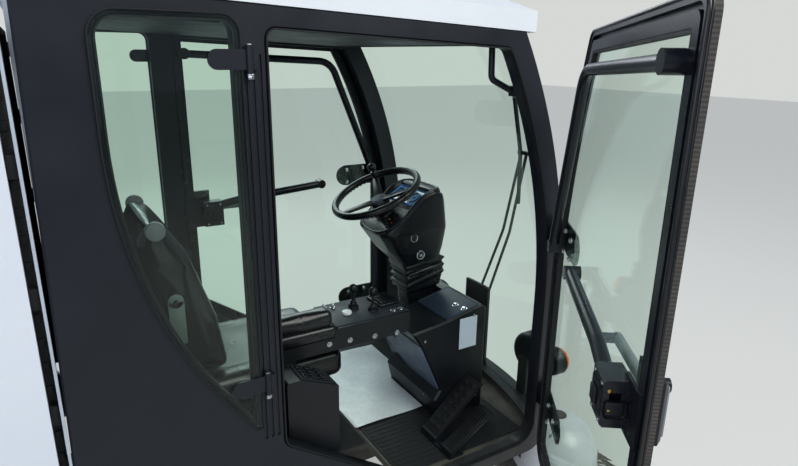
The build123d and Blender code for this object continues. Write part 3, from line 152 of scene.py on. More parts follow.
def finish(name, base, second, rough, metal=0.0, coat=0.0, cloud=180, mottle=0.5, grain=1.5, height=0.06,
           rough_spread=0.08, dust=None, ribs=None, shine=0.5):
    """A painted, moulded or metal surface: clouds of a second tone, uneven gloss, fine grain, dust, and
    painted shade in bands along any ribs.
    """
    material, tree, place = new_material(name)
    clouds = add(tree, "ShaderNodeTexNoise", {"Vector": place, "Scale": per_metre(cloud), "Detail": 5.0})
    spread = add(tree, "ShaderNodeMapRange", {
        "Value": clouds.outputs["Fac"], "From Min": 0.35, "From Max": 0.7, "To Max": mottle})
    shown = mixed(tree, spread.outputs["Result"], colour(base), colour(second))
    fine = add(tree, "ShaderNodeTexNoise", {"Vector": place, "Scale": per_metre(grain), "Detail": 2.0})
    gloss = add(tree, "ShaderNodeMapRange", {"Value": clouds.outputs["Fac"], "From Min": 0.3, "From Max": 0.7,
                                             "To Min": rough - rough_spread, "To Max": rough + rough_spread})
    if dust:
        amount, reach = dust
        height_z = add(tree, "ShaderNodeSeparateXYZ", {"Vector": place}).outputs["Z"]
        low = add(tree, "ShaderNodeMapRange", {"Value": height_z, "From Min": 0.02, "From Max": reach,
                                               "To Min": amount, "To Max": 0.0})
        patch = add(tree, "ShaderNodeTexNoise", {"Vector": place, "Scale": per_metre(60), "Detail": 6.0})
        share = add(tree, "ShaderNodeMath", {0: low.outputs["Result"], 1: patch.outputs["Fac"]},
                    operation="MULTIPLY")
        shown = mixed(tree, share.outputs["Value"], shown, colour(ROAD_DUST))
    relief = fine.outputs["Fac"]
    if ribs:
        rows = add(tree, "ShaderNodeTexWave", {"Vector": place, "Scale": per_metre(ribs) / WAVE_SCALE},
                   bands_direction="Z")
        both = add(tree, "ShaderNodeMath", {0: rows.outputs["Fac"], 1: relief}, operation="ADD")
        relief = both.outputs["Value"]
        # Painted shade: the colour is darkened in bands that follow the ribs' relief.
        rib_painted_shade = add(tree, "ShaderNodeMapRange", {"Value": rows.outputs["Fac"], "To Min": 0.0, "To Max": 0.6})
        shown = mixed(tree, rib_painted_shade.outputs["Result"], shown, colour(RIB_PAINTED_SHADE))
    bump = add(tree, "ShaderNodeBump", {"Height": relief, "Strength": 0.35, "Distance": height * MM})
    shader = add(tree, "ShaderNodeBsdfPrincipled", {
        "Base Color": shown, "Roughness": gloss.outputs["Result"], "Metallic": metal, "Coat Weight": coat,
        "Coat Roughness": 0.08, "Specular IOR Level": shine, "Normal": bump.outputs["Normal"]})
    add(tree, "ShaderNodeOutputMaterial", {"Surface": shader.outputs["BSDF"]})
    return material


def glass(name, tint, edge):
    """Safety glass: lets light through with a tint, and mirrors more towards a glancing view."""
    material, tree, place = new_material(name)
    smear = add(tree, "ShaderNodeTexNoise", {"Vector": place, "Scale": per_metre(220), "Detail": 4.0})
    film = add(tree, "ShaderNodeMapRange", {"Value": smear.outputs["Fac"], "From Min": 0.45, "From Max": 0.8,
                                            "To Min": 0.015, "To Max": 0.06})
    slant = add(tree, "ShaderNodeLayerWeight", {"Blend": 0.5})
    steep = add(tree, "ShaderNodeMath", {0: slant.outputs["Facing"], 1: 5.0}, operation="POWER")
    mirror_share = add(tree, "ShaderNodeMapRange", {
        "Value": steep.outputs["Value"], "To Min": 0.018, "To Max": 0.6})
    clear = add(tree, "ShaderNodeBsdfTransparent", {"Color": colour(tint)})
    shine = add(tree, "ShaderNodeBsdfGlossy", {"Color": colour(edge), "Roughness": film.outputs["Result"]})
    both = add(tree, "ShaderNodeMixShader", {0: mirror_share.outputs["Result"], 1: clear.outputs["BSDF"],
                                             2: shine.outputs["BSDF"]})
    add(tree, "ShaderNodeOutputMaterial", {"Surface": both.outputs["Shader"]})
    return material


def lens(name, tint, ribs):
    """Moulded lamp lens: coloured clear plastic over a bright bowl, with fine prisms."""
    material, tree, place = new_material(name)
    prisms = add(tree, "ShaderNodeTexWave", {
        "Vector": place, "Scale": per_metre(ribs) / WAVE_SCALE, "Distortion": 0.4}, bands_direction="Z")
    bump = add(tree, "ShaderNodeBump", {
        "Height": prisms.outputs["Fac"], "Strength": 0.5, "Distance": 0.6 * MM})
    shader = add(tree, "ShaderNodeBsdfPrincipled", {
        "Base Color": colour(tint), "Roughness": 0.12, "Coat Weight": 0.6, "Coat Roughness": 0.03,
        "Subsurface Weight": 0.15, "Normal": bump.outputs["Normal"]})
    add(tree, "ShaderNodeOutputMaterial", {"Surface": shader.outputs["BSDF"]})
    return material


def woven(name, base, second, thread, rough):
    """Woven or coated fabric: crossing threads of a real spacing, drawn coarse enough to show."""
    material, tree, place = new_material(name)
    waves = []
    for direction in ("X", "Y", "Z"):
        wave = add(tree, "ShaderNodeTexWave", {"Vector": place, "Scale": per_metre(thread) / WAVE_SCALE},
                   bands_direction=direction)
        waves.append(wave.outputs["Fac"])
    cross = add(tree, "ShaderNodeMath", {0: waves[0], 1: waves[1]}, operation="MULTIPLY")
    cloth = add(tree, "ShaderNodeMath", {0: cross.outputs["Value"], 1: waves[2]}, operation="MAXIMUM")
    clouds = add(tree, "ShaderNodeTexNoise", {"Vector": place, "Scale": per_metre(70), "Detail": 4.0})
    tone = mixed(tree, clouds.outputs["Fac"], colour(base), colour(second))
    bump = add(tree, "ShaderNodeBump", {
        "Height": cloth.outputs["Value"], "Strength": 0.5, "Distance": 0.35 * MM})
    shader = add(tree, "ShaderNodeBsdfPrincipled", {
        "Base Color": tone, "Roughness": rough, "Sheen Weight": 0.2, "Sheen Roughness": 0.5,
        "Normal": bump.outputs["Normal"]})
    add(tree, "ShaderNodeOutputMaterial", {"Surface": shader.outputs["BSDF"]})
    return material


# Two-pack enamel over sheet steel: clean white with a faint cool cloud and a clear gloss.
white_enamel = finish("white_enamel", "#cdd3db", "#bfc7d1", 0.3, coat=0.35, cloud=420, mottle=0.5,
                      grain=4, height=0.03, dust=(0.5, 0.75))
# Gelcoat moulding of the roof and brush covers: softer gloss than the enamel.
white_gelcoat = finish("white_gelcoat", "#d2d7dd", "#c2c9d2", 0.36, coat=0.2, cloud=300, grain=5, height=0.05,
                       dust=(0.55, 0.5))
# Powder coat on the cab's frames: nearly black blue-grey with a fine orange peel.
powder_black = finish("powder_black", "#10141b", "#191e27", 0.4, cloud=240, grain=1.6, height=0.12,
                      dust=(0.35, 0.6), shine=0.3)
# Glossier powder coat on the doors.
door_black = finish("door_black", "#0f1218", "#181c24", 0.3, cloud=200, grain=1.6, height=0.08, shine=0.3)
# Moulded ABS with a leather-like grain: soft sheen, never glossy.
moulded_black = finish("moulded_black", "#0f1115", "#171a20", 0.42, cloud=120, grain=1.1, height=0.2,
                       shine=0.3)
# Satin moulding of the instrument pod.
pod_black = finish("pod_black", "#0b0d11", "#13161c", 0.3, cloud=160, grain=0.9, height=0.12, shine=0.3)
# Chassis paint with road dust low down.
chassis_black = finish("chassis_black", "#17181b", "#242424", 0.55, cloud=90, grain=2.5, height=0.2,
                       dust=(0.9, 0.7), shine=0.3)
# Sand-cast iron under paint.
cast_grey = finish("cast_grey", "#2b2c2e", "#3a3936", 0.6, metal=0.3, cloud=60, grain=3.0, height=0.4,
                   dust=(0.8, 0.6))
# Ground and zinc plated steel.
plated_steel = finish("plated_steel", "#b9bcc0", "#93979c", 0.26, metal=1.0, cloud=30, grain=0.8, height=0.02)
# Yellow passivated latch.
brass_latch = finish("brass_latch", "#c7a254", "#9c7a37", 0.28, metal=1.0, cloud=20, grain=0.8, height=0.02)
# Tyre compound: dull black, browner where dust sits.
tyre_compound = finish("tyre_compound", "#1b1b1c", "#2b2a28", 0.78, cloud=50, grain=1.2, height=0.2,
                       dust=(0.9, 0.5), shine=0.3)
# Silver wheel enamel.
wheel_silver = finish("wheel_silver", "#aeb2b6", "#8f9499", 0.4, metal=0.35, cloud=70, grain=2.0, height=0.05,
                      dust=(0.8, 0.45))
# EPDM seal: matt, slightly grey.
seal_rubber = finish("seal_rubber", "#101113", "#1b1c1e", 0.66, cloud=40, grain=0.7, height=0.1, shine=0.3)
# Hollow door beads: newer, glossier rubber.
bead_rubber = finish("bead_rubber", "#0e1013", "#16181b", 0.34, cloud=60, grain=0.9, height=0.06, shine=0.4)
# Ribbed PVC edge trim on the doors, greyer than the seals: its fine ribs are drawn 4 mm wide to show, and
# painted shade darkens them in bands.
edge_trim = finish("edge_trim", "#4d4945", "#3d3a37", 0.62, cloud=40, mottle=0.7, grain=2.2, height=0.8,
                   ribs=4, shine=0.3)
# Polypropylene tines.
tine_grey = finish("tine_grey", "#3c3e40", "#5a5955", 0.5, cloud=25, grain=1.0, height=0.1, dust=(0.7, 0.25))
# Grey-blue lining panels in the cab.
lining_blue = finish("lining_blue", "#2c3645", "#222a37", 0.5, cloud=150, grain=1.8, height=0.2, shine=0.3)
# Slate sheet on the heater's rear face, scuffed by shoes.
kick_blue = finish("kick_blue", "#47566f", "#39475d", 0.42, cloud=90, mottle=0.7, grain=2.0, height=0.1)
# Cool grey moulded panel of the console and shelf.
panel_grey = finish("panel_grey", "#1b2027", "#262c35", 0.5, cloud=90, grain=1.4, height=0.2, shine=0.3)
# Door handle moulding, worn grey.
handle_grey = finish("handle_grey", "#7e8489", "#686d72", 0.45, cloud=50, grain=1.2, height=0.1)
# Bare printed label left blank: smooth vinyl.
blank_vinyl = finish("blank_vinyl", "#c9d3dd", "#bcc7d2", 0.4, cloud=60, mottle=0.3, grain=6, height=0.02)
# White and coloured push buttons.
button_white = finish("button_white", "#d6dade", "#bfc4c9", 0.35, cloud=20, grain=3, height=0.02)
button_red = finish("button_red", "#a8231c", "#7f1a15", 0.35, cloud=20, grain=3, height=0.02)
button_amber = finish("button_amber", "#c98a1b", "#a26c12", 0.35, cloud=20, grain=3, height=0.02)
button_green = finish("button_green", "#2c8a4a", "#206a38", 0.35, cloud=20, grain=3, height=0.02)
display_blue = finish("display_blue", "#3f6ea8", "#6f9ccc", 0.12, coat=0.5, cloud=60, mottle=0.8, grain=6,
                      height=0.01)
# Glossy vinyl of the seat cushion and arm pad.
seat_vinyl = finish("seat_vinyl", "#0a0c0f", "#13161a", 0.3, cloud=80, grain=2.2, height=0.05, shine=0.45)
# Bare aluminium edge of the side panel.
edge_silver = finish("edge_silver", "#b7c0cb", "#9aa4b0", 0.45, metal=0.4, cloud=80, grain=2, height=0.03)
# Pale zinc plate of the seat's recliner.
recliner_grey = finish("recliner_grey", "#8d9a95", "#7a8781", 0.4, metal=0.5, cloud=60, grain=1.5,
                         height=0.04)
# Moulded vinyl shell of the seat back: glossy and smooth.
seat_shell = finish("seat_shell", "#07090b", "#0d1013", 0.2, cloud=200, grain=3, height=0.02)
webbing = woven("webbing", "#22252a", "#15171a", 1.6, 0.75)
green_glass = glass("green_glass", "#f2faf5", "#eef4f2")
lamp_clear = lens("lamp_clear", "#e8ecee", 7)
lamp_amber = lens("lamp_amber", "#e8730a", 5)
lamp_red = lens("lamp_red", "#a5110d", 5)


# Mesh helpers

def to_object(name, shape, material, body="machine", place=None, smooth=35):
    """Turns a bmesh drawn in millimetres into a piece that rides on a body."""
    matrix = TO_FRAME @ (place or Matrix.Identity(4))
    shape.transform(matrix)
    if matrix.determinant() < 0:
        bmesh.ops.reverse_faces(shape, faces=shape.faces[:])
    mesh = bpy.data.meshes.new(name)
    shape.to_mesh(mesh)
    shape.free()
    mesh.shade_smooth()
    mesh.set_sharp_from_angle(angle=radians(smooth))
    mesh.materials.append(material)
    piece = bpy.data.objects.new(name, mesh)
    bpy.context.scene.collection.objects.link(piece)
    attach(piece, body)
    return piece


def edges_of(verts):
    return list(dict.fromkeys(edge for vert in verts for edge in vert.link_edges))


def block(shape, low, high, edge=2.0, segments=2):
    """A box with rounded edges between two corners."""
    low = Vector(low)
    high = Vector(high)
    size = high - low
    place = Matrix.Translation((low + high) / 2) @ Matrix.Diagonal((*size, 1))
    made = bmesh.ops.create_cube(shape, size=1, matrix=place)["verts"]
    if edge:
        bmesh.ops.bevel(shape, geom=edges_of(made), offset=edge, segments=segments, affect="EDGES",
                        profile=0.5, material=-1)
    return made


def boxes(name, material, corners, body="machine", place=None):
    """A piece made of rounded boxes, each given by what block takes."""
    shape = bmesh.new()
    for box in corners:
        block(shape, *box)
    to_object(name, shape, material, body, place)


def rod(shape, start, end, radius, far_radius=None, sides=20, edge=0.0):
    """A round bar between two points, tapered if it has a second radius."""
    start = Vector(start)
    end = Vector(end)
    run = end - start
    turn = run.to_track_quat("Z", "Y").to_matrix().to_4x4()
    place = Matrix.Translation((start + end) / 2) @ turn
    far = radius if far_radius is None else far_radius
    made = bmesh.ops.create_cone(shape, cap_ends=True, segments=sides, radius1=radius, radius2=far,
                                 depth=run.length, matrix=place)["verts"]
    if edge:
        rims = [e for e in edges_of(made) if any(len(f.verts) > 4 for f in e.link_faces)]
        bmesh.ops.bevel(shape, geom=rims, offset=edge, segments=2, affect="EDGES", profile=0.5, material=-1)


def ball(shape, centre, radius, flat=1.0, axis=UP):
    turn = Vector(axis).to_track_quat("Z", "Y").to_matrix().to_4x4()
    place = Matrix.Translation(Vector(centre)) @ turn @ Matrix.Diagonal((1, 1, flat, 1))
    bmesh.ops.create_uvsphere(shape, u_segments=20, v_segments=12, radius=radius, matrix=place)


def ring(shape, centre, axis, radius, thickness, steps=48, sides=10):
    """A torus made by spinning a small circle."""
    axis = Vector(axis).normalized()
    turn = axis.to_track_quat("Z", "Y").to_matrix().to_4x4()
    place = Matrix.Translation(Vector(centre)) @ turn
    start = place @ Matrix.Translation((radius, 0, 0)) @ Matrix.Rotation(pi / 2, 4, "X")
    circle = bmesh.ops.create_circle(shape, segments=sides, radius=thickness, matrix=start)["verts"]
    bmesh.ops.spin(shape, geom=circle + edges_of(circle), cent=Vector(centre), axis=axis, angle=2 * pi,
                   steps=steps, use_merge=True)


def turned(shape, points, centre, axis, steps):
    """A shape turned about an axis from a row of points."""
    verts = [shape.verts.new(point) for point in points]
    edges = [shape.edges.new(pair) for pair in zip(verts, verts[1:])]
    bmesh.ops.spin(shape, geom=verts + edges, cent=centre, axis=axis, angle=2 * pi, steps=steps,
                   use_merge=True)


def hex_bolt(shape, at, axis, across=13.0, height=6.0):
    """A flanged hexagon bolt head."""
    at = Vector(at)
    axis = Vector(axis).normalized()
    rod(shape, at, at + axis * 1.8, across * 0.72, sides=20)
    rod(shape, at + axis * 1.8, at + axis * height, across * 0.56, sides=6, edge=0.8)


def by_place(vert):
    return tuple(round(value, 2) for value in vert.co)


def section(name, point, normal):
    """Closed outlines of a solid where a plane cuts it, in drawing millimetres, longest first.

    Each starts at its point of least x, so the same solid always gives the same row of points.
    """
    shape = bmesh.new()
    shape.from_mesh(frame["nodes"][name].data)
    shape.transform(TO_DRAWING)
    bmesh.ops.remove_doubles(shape, verts=shape.verts[:], dist=0.01)
    everything = shape.verts[:] + shape.edges[:] + shape.faces[:]
    bmesh.ops.bisect_plane(shape, geom=everything, plane_co=Vector(point), plane_no=Vector(normal),
                           clear_inner=True, clear_outer=True)
    bmesh.ops.remove_doubles(shape, verts=shape.verts[:], dist=0.05)
    left = set(shape.verts)
    loops = []
    for first in sorted(shape.verts, key=by_place):
        if first not in left:
            continue
        walk = []
        onward = [first]
        while onward:
            walk.append(onward[0])
            left.discard(onward[0])
            near = [e.other_vert(walk[-1]) for e in walk[-1].link_edges]
            onward = sorted((v for v in near if v in left), key=by_place)
        if len(walk) > 5:
            loops.append([v.co.copy() for v in walk])
    shape.free()
    return sorted(loops, key=perimeter, reverse=True)


def perimeter(loop):
    return sum((loop[i] - loop[i - 1]).length for i in range(len(loop)))


def thinned(loop, step):
    """The closed outline with its points about one step apart, and both ends of each straight run."""
    kept = [loop[0]]
    for point, after in zip(loop[1:], loop[2:] + loop[:1]):
        if (point - kept[-1]).length >= step or (after - point).length >= step:
            kept.append(point)
    return kept


def flush(loop, y):
    return [Vector((p.x, y, p.z)) for p in loop]


def cord_along(name, points, radius, material, body, place=None, closed=True):
    """A seal, wire or bead that follows points."""
    curve = bpy.data.curves.new(name, "CURVE")
    curve.dimensions = "3D"
    curve.bevel_depth = radius * MM
    curve.bevel_resolution = 2
    curve.use_fill_caps = not closed
    line = curve.splines.new("POLY")
    line.points.add(len(points) - 1)
    matrix = TO_FRAME @ (place or Matrix.Identity(4))
    for knot, point in zip(line.points, points):
        knot.co = (*(matrix @ Vector(point)), 1)
    line.use_cyclic_u = closed
    line.use_smooth = True
    curve.materials.append(material)
    piece = bpy.data.objects.new(name, curve)
    bpy.context.scene.collection.objects.link(piece)
    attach(piece, body)
    return piece


def bent(points, radius=30, steps=6):
    """A path through points with its corners rounded."""
    points = [Vector(p) for p in points]
    path = [points[0]]
    for before, corner, after in zip(points, points[1:], points[2:]):
        back = before - corner
        on = after - corner
        reach = min(radius, back.length * 0.45, on.length * 0.45)
        start = corner + back.normalized() * reach
        end = corner + on.normalized() * reach
        for i in range(steps + 1):
            t = i / steps
            path.append(start.lerp(corner, t).lerp(corner.lerp(end, t), t))
    path.append(points[-1])
    return path


def band(shape, loop, low_y, high_y, thickness):
    """A strip that wraps an outline drawn in side view, from one y to another."""
    verts = [shape.verts.new((p.x, low_y, p.z)) for p in loop]
    edges = [shape.edges.new((verts[i - 1], verts[i])) for i in range(len(verts))]
    up = bmesh.ops.extrude_edge_only(shape, edges=edges)["geom"]
    high = [g for g in up if isinstance(g, bmesh.types.BMVert)]
    bmesh.ops.translate(shape, verts=high, vec=(0, high_y - low_y, 0))
    faces = [g for g in up if isinstance(g, bmesh.types.BMFace)]
    bmesh.ops.recalc_face_normals(shape, faces=faces)
    centre = sum(loop, Vector()) / len(loop)
    if sum((f.calc_center_median() - centre).dot(f.normal) for f in faces) < 0:
        bmesh.ops.reverse_faces(shape, faces=faces)
    bmesh.ops.solidify(shape, geom=faces, thickness=-thickness)
    bmesh.ops.recalc_face_normals(shape, faces=shape.faces[:])


def at_angle(centre, axis_a, axis_b, radius, angle):
    """A point on a circle spanned by two directions."""
    return Vector(centre) + Vector(axis_a) * radius * cos(angle) + Vector(axis_b) * radius * sin(angle)


def between(start, end, count):
    return [start + (end - start) * i / (count - 1) for i in range(count)]


# Finishes of the solids

CAD_FINISH = {
    white_enamel: ["engine_housing", "hopper", "hopper_hatch", "cab_rear_wall"],
    white_gelcoat: ["roof", "brush_cover_left", "brush_cover_right"],
    powder_black: ["side_frame_left", "side_frame_right", "cab_headers", "body_skirts", "bumper",
                   "quarter_hinges"],
    door_black: ["door_frame_left", "door_frame_right"],
    moulded_black: ["console", "switch_box", "steering_wheel", "heater_box", "wiper", "pedals",
                    "nose_panel", "headlamps"],
    pod_black: ["steering_column"],
    cast_grey: ["engine_block", "front_axle", "rear_axle", "knuckle_left", "knuckle_right", "tie_rod"],
    plated_steel: ["lift_rod_left", "lift_rod_right"],
    wheel_silver: ["rim_front_left", "rim_front_right", "rim_rear_left", "rim_rear_right"],
    seal_rubber: ["suction_duct"],
    green_glass: ["door_glass_left", "door_glass_right", "quarter_glass", "windscreen"],
    lamp_amber: ["amber_lamps"],
    lamp_red: ["rear_lamps"],
    chassis_black: ["chassis", "brush_arm_left", "brush_arm_right", "suction_nozzle", "cab_floor",
                    "seat_base", "lift_barrel_left", "lift_barrel_right"],
    tine_grey: ["brush_left", "brush_right"],
    tyre_compound: ["tyre_front_left", "tyre_front_right", "tyre_rear_left", "tyre_rear_right"],
    seat_vinyl: ["seat_cushion", "seat_back", "arm_pad"],
}
for material, names in CAD_FINISH.items():
    for name in names:
        solid = frame["nodes"][name]
        solid.data.materials.clear()
        solid.data.materials.append(material)


# Wheels

TREAD_R = WHEEL_R - 8
RIM_R = 165
TYRE_SIDE = [(RIM_R + 1, 70), (RIM_R + 9, 79), (RIM_R + 20, 81), (RIM_R + 26, 87), (205, 91.5), (209, 92.4),
             (213, 92.4), (217, 91), (236, 90.5), (246, 88), (252, 90), (WHEEL_R - 12, 82), (TREAD_R, 72)]
TREAD = [(TREAD_R, 44), (TREAD_R, 16)]
# Each row of tread blocks: its two sides and how far it is shifted round, as a share of one block.
LUG_ROWS = ((2, 26, 0), (-26, -2, 0.5), (34, 66, 0.25), (-66, -34, 0.75))
LUG_COUNT = 36


def tyre(name, centre, body):
    """A spun carcass with two rows of centre blocks and two of shoulder blocks."""
    shape = bmesh.new()
    half = TYRE_SIDE + TREAD
    profile = half + [(r, -s) for r, s in reversed(half)]
    turned(shape, [centre + Vector((r, s, 0)) for r, s in profile], centre, ACROSS, 72)
    for i in range(LUG_COUNT):
        for row, (low, high, shift) in enumerate(LUG_ROWS):
            angle = 360 * (i + shift) / LUG_COUNT
            turn = Matrix.Translation(centre) @ Matrix.Rotation(radians(angle), 4, "Y")
            lug = block(shape, (TREAD_R - 4, low, -17), (WHEEL_R - 0.6, high, 17), edge=0)
            bmesh.ops.rotate(shape, verts=lug, cent=(TREAD_R, (low + high) / 2, 0),
                             matrix=Matrix.Rotation(radians(14 if row % 2 else -14), 3, "X"))
            bmesh.ops.transform(shape, matrix=turn, verts=lug)
    bmesh.ops.recalc_face_normals(shape, faces=shape.faces[:])
    return to_object(name, shape, tyre_compound, body)


def wheel_trim(name, centre, body, side):
    """Wheel nuts, a hub cap and the valve."""
    shape = bmesh.new()
    out = Vector((0, side, 0))
    face = centre + out * 48
    for i in range(5):
        angle = 2 * pi * (i + 0.5) / 5
        foot = at_angle(face, AHEAD, UP, 46, angle)
        rod(shape, foot, foot + out * 3, 10, sides=20)
        rod(shape, foot + out * 3, foot + out * 15, 8, sides=6, edge=1)
        rod(shape, foot + out * 15, foot + out * 20, 4.5, sides=12, edge=1)
    rod(shape, face, face + out * 17, 31, 27, sides=32, edge=3)
    valve = (centre + out * 20 + Vector((0, 0, 139)), centre + out * 52 + Vector((0, 0, 133)))
    rod(shape, *valve, 4, 3, sides=12)
    to_object(name, shape, plated_steel, body)


for end in ("front", "rear"):
    for side_name, side in (("left", 1), ("right", -1)):
        hub = joint_place(f"wheel_{end}_{side_name}_spin")
        tyre_node = f"tyre_{end}_{side_name}"
        made = tyre(f"tread_{end}_{side_name}", hub, f"wheel_{end}_{side_name}")
        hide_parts(tyre_node)
        wheel_trim(f"wheel_nuts_{end}_{side_name}", hub, f"wheel_{end}_{side_name}", side)


# Brushes

PLATE_R = 175
PLATE_Z = 78
TINE_ROOT = 158
TINE_REACH = 318
TINE_TIP = 13
BUNDLES = 44


def brush(side_name):
    """Brush plate with bundles of curved tines, drooping and splayed as they wear."""
    centre = joint_place(f"brush_{side_name}_spin")
    centre.z = 0
    chance = random.Random(side_name)
    shape = bmesh.new()
    foot, middle, top = [centre + Vector((0, 0, PLATE_Z + rise)) for rise in (0, 22, 54)]
    rod(shape, foot, middle, PLATE_R, sides=64, edge=4)
    rod(shape, middle, top, 45, sides=32, edge=3)
    plate = to_object(f"brush_plate_{side_name}", shape, chassis_black, f"brush_{side_name}")
    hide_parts(f"brush_{side_name}")
    shape = bmesh.new()
    for bundle in range(BUNDLES):
        for strand in range(11):
            angle = 2 * pi * (bundle + chance.uniform(-0.3, 0.3)) / BUNDLES
            lean = angle + chance.uniform(-0.09, 0.05)
            reach = TINE_REACH - chance.uniform(0, 26)
            tip = TINE_TIP + chance.uniform(0, 9)
            seat = centre + Vector((0, 0, PLATE_Z + chance.uniform(2, 14)))
            root = at_angle(seat, AHEAD, ACROSS, TINE_ROOT, angle)
            elbow = at_angle(centre + Vector((0, 0, PLATE_Z - 14)), AHEAD, ACROSS,
                             TINE_ROOT + (reach - TINE_ROOT) * 0.55, (angle + lean) / 2)
            end = at_angle(centre + Vector((0, 0, tip)), AHEAD, ACROSS, reach, lean)
            rod(shape, root, elbow, 2.6, 2.3, sides=5)
            rod(shape, elbow, end, 2.3, 1.7, sides=5)
    to_object(f"brush_tines_{side_name}", shape, tine_grey, f"brush_{side_name}")


for side_name in ("left", "right"):
    brush(side_name)
    cover = node_box(f"brush_cover_{side_name}")
    crown = (cover[0] + cover[1]) / 2
    crown.z = cover[1].z
    shape = bmesh.new()
    rod(shape, crown + Vector((0, 0, -6)), crown + Vector((0, 0, 0)), 34, sides=32, edge=2)
    ring(shape, crown + Vector((0, 0, -225)), UP, 184, 3.5, steps=72)
    for angle in (0.8, 2.4, 3.9, 5.5):
        hex_bolt(shape, at_angle(crown + Vector((0, 0, -18)), AHEAD, ACROSS, 22, angle) - Vector((0, 0, -8)),
                 UP, 10, 8)
    to_object(f"brush_cover_trim_{side_name}", shape, chassis_black, f"brush_arm_{side_name}")


# Doors

door_outline = flush(section("door_frame_left", (0, DOOR_OUT - 3, 0), ACROSS)[0], 0)
pane_outline = flush(section("door_glass_left", (0, HINGE.y, 0), ACROSS)[0], 0)
LOCK = Vector((80, DOOR_IN, 1095))
HINGE_HEIGHTS = (600, 1245)


def door_trim(side_name):
    """Edge trim, glass seal, lock, hinge bolts and handle details of one door."""
    body = f"door_{side_name}"
    place = DOOR_PLACES[side_name]
    shape = bmesh.new()
    band(shape, thinned(door_outline, 6), DOOR_OUT - 11, DOOR_OUT + 1, 2.5)
    to_object(f"door_edge_trim_{side_name}", shape, edge_trim, body, place)
    for across, radius in ((0.5, 4.5), (7, 3)):
        path = [p + Vector((0, DOOR_IN + across, 0)) for p in thinned(door_outline, 6)]
        cord_along(f"door_bead_{round(across)}_{side_name}", path, radius, bead_rubber, body, place)
    shape = bmesh.new()
    band(shape, thinned(pane_outline, 6), HINGE.y - 9, HINGE.y + 9, -7)
    to_object(f"door_glass_seal_{side_name}", shape, seal_rubber, body, place)
    bolts = bmesh.new()
    for z in HINGE_HEIGHTS:
        for dx, dz in ((-222, 30), (-222, -30), (-130, 34), (-130, -34)):
            hex_bolt(bolts, (HINGE.x + dx, DOOR_OUT + 5, z + dz), ACROSS, 12, 6)
        for dz in (-44, 44):
            rod(bolts, (HINGE.x, HINGE.y, z + dz), (HINGE.x, HINGE.y, z + dz * 1.12), 10, sides=20, edge=1.5)
        for dx, dz in ((-222, 30), (-222, -30), (-130, 34), (-130, -34)):
            hex_bolt(bolts, (HINGE.x + dx, HINGE.y - GLASS_T / 2, z + dz), (0, -1, 0), 13, 7)
    inner_face = DOOR_IN - 57
    for dx, dz in ((12, 12), (68, 12), (12, 95), (68, 95)):
        x, z = LOCK.x + dx, LOCK.z + dz
        rod(bolts, (x, inner_face + 0.5, z), (x, inner_face - 2, z), 4.5, sides=16, edge=0.8)
    to_object(f"door_bolts_{side_name}", bolts, plated_steel, body, place)
    latch = bmesh.new()
    for start, end, radius, far, sides, edge in (
            ((5, -46, 40), (5, -18, 46), 8, 6, 24, 2),
            ((2, -40, 34), (2, -20, 36), 4, 4, 20, 1),
            ((3, -44, 84), (-1, -44, 84), 4.5, 4.5, 20, 1)):
        rod(latch, LOCK + Vector(start), LOCK + Vector(end), radius, far, sides, edge)
    to_object(f"door_latch_{side_name}", latch, brass_latch, body, place)
    lock_plate = bmesh.new()
    block(lock_plate, (LOCK.x - 2.5, DOOR_IN - 53, LOCK.z + 24), (LOCK.x + 2, DOOR_IN - 8, LOCK.z + 62), 8, 4)
    for x0, x1, y0, y1, z0, z1 in ((6, 74, -2.5, 1, 22, 86), (30, 62, -10, -1, 34, 72)):
        block(lock_plate, (LOCK.x + x0, inner_face + y0, LOCK.z + z0),
              (LOCK.x + x1, inner_face + y1, LOCK.z + z1), 4, 3)
    to_object(f"door_release_{side_name}", lock_plate, moulded_black, body, place)
    outer = bmesh.new()
    block(outer, (24, DOOR_OUT + 23, LOCK.z + 22), (112, DOOR_OUT + 26.5, LOCK.z + 132), 5, 3)
    rod(outer, (88, DOOR_OUT + 34, LOCK.z + 57), (390, DOOR_OUT + 34, LOCK.z + 57), 13.5, sides=28, edge=5)
    to_object(f"door_handle_{side_name}", outer, handle_grey, body, place)
    key = bmesh.new()
    rod(key, (50, DOOR_OUT + 20, LOCK.z + 122), (50, DOOR_OUT + 37.5, LOCK.z + 122), 12, sides=28, edge=2)
    ring(key, (50, DOOR_OUT + 37, LOCK.z + 122), ACROSS, 8, 1.4, steps=28, sides=8)
    block(key, (48.8, DOOR_OUT + 37, LOCK.z + 117), (51.2, DOOR_OUT + 38.6, LOCK.z + 127), 0.4, 1)
    to_object(f"door_key_{side_name}", key, plated_steel, body, place)


for side_name in ("left", "right"):
    door_trim(side_name)


# Cab openings and windows

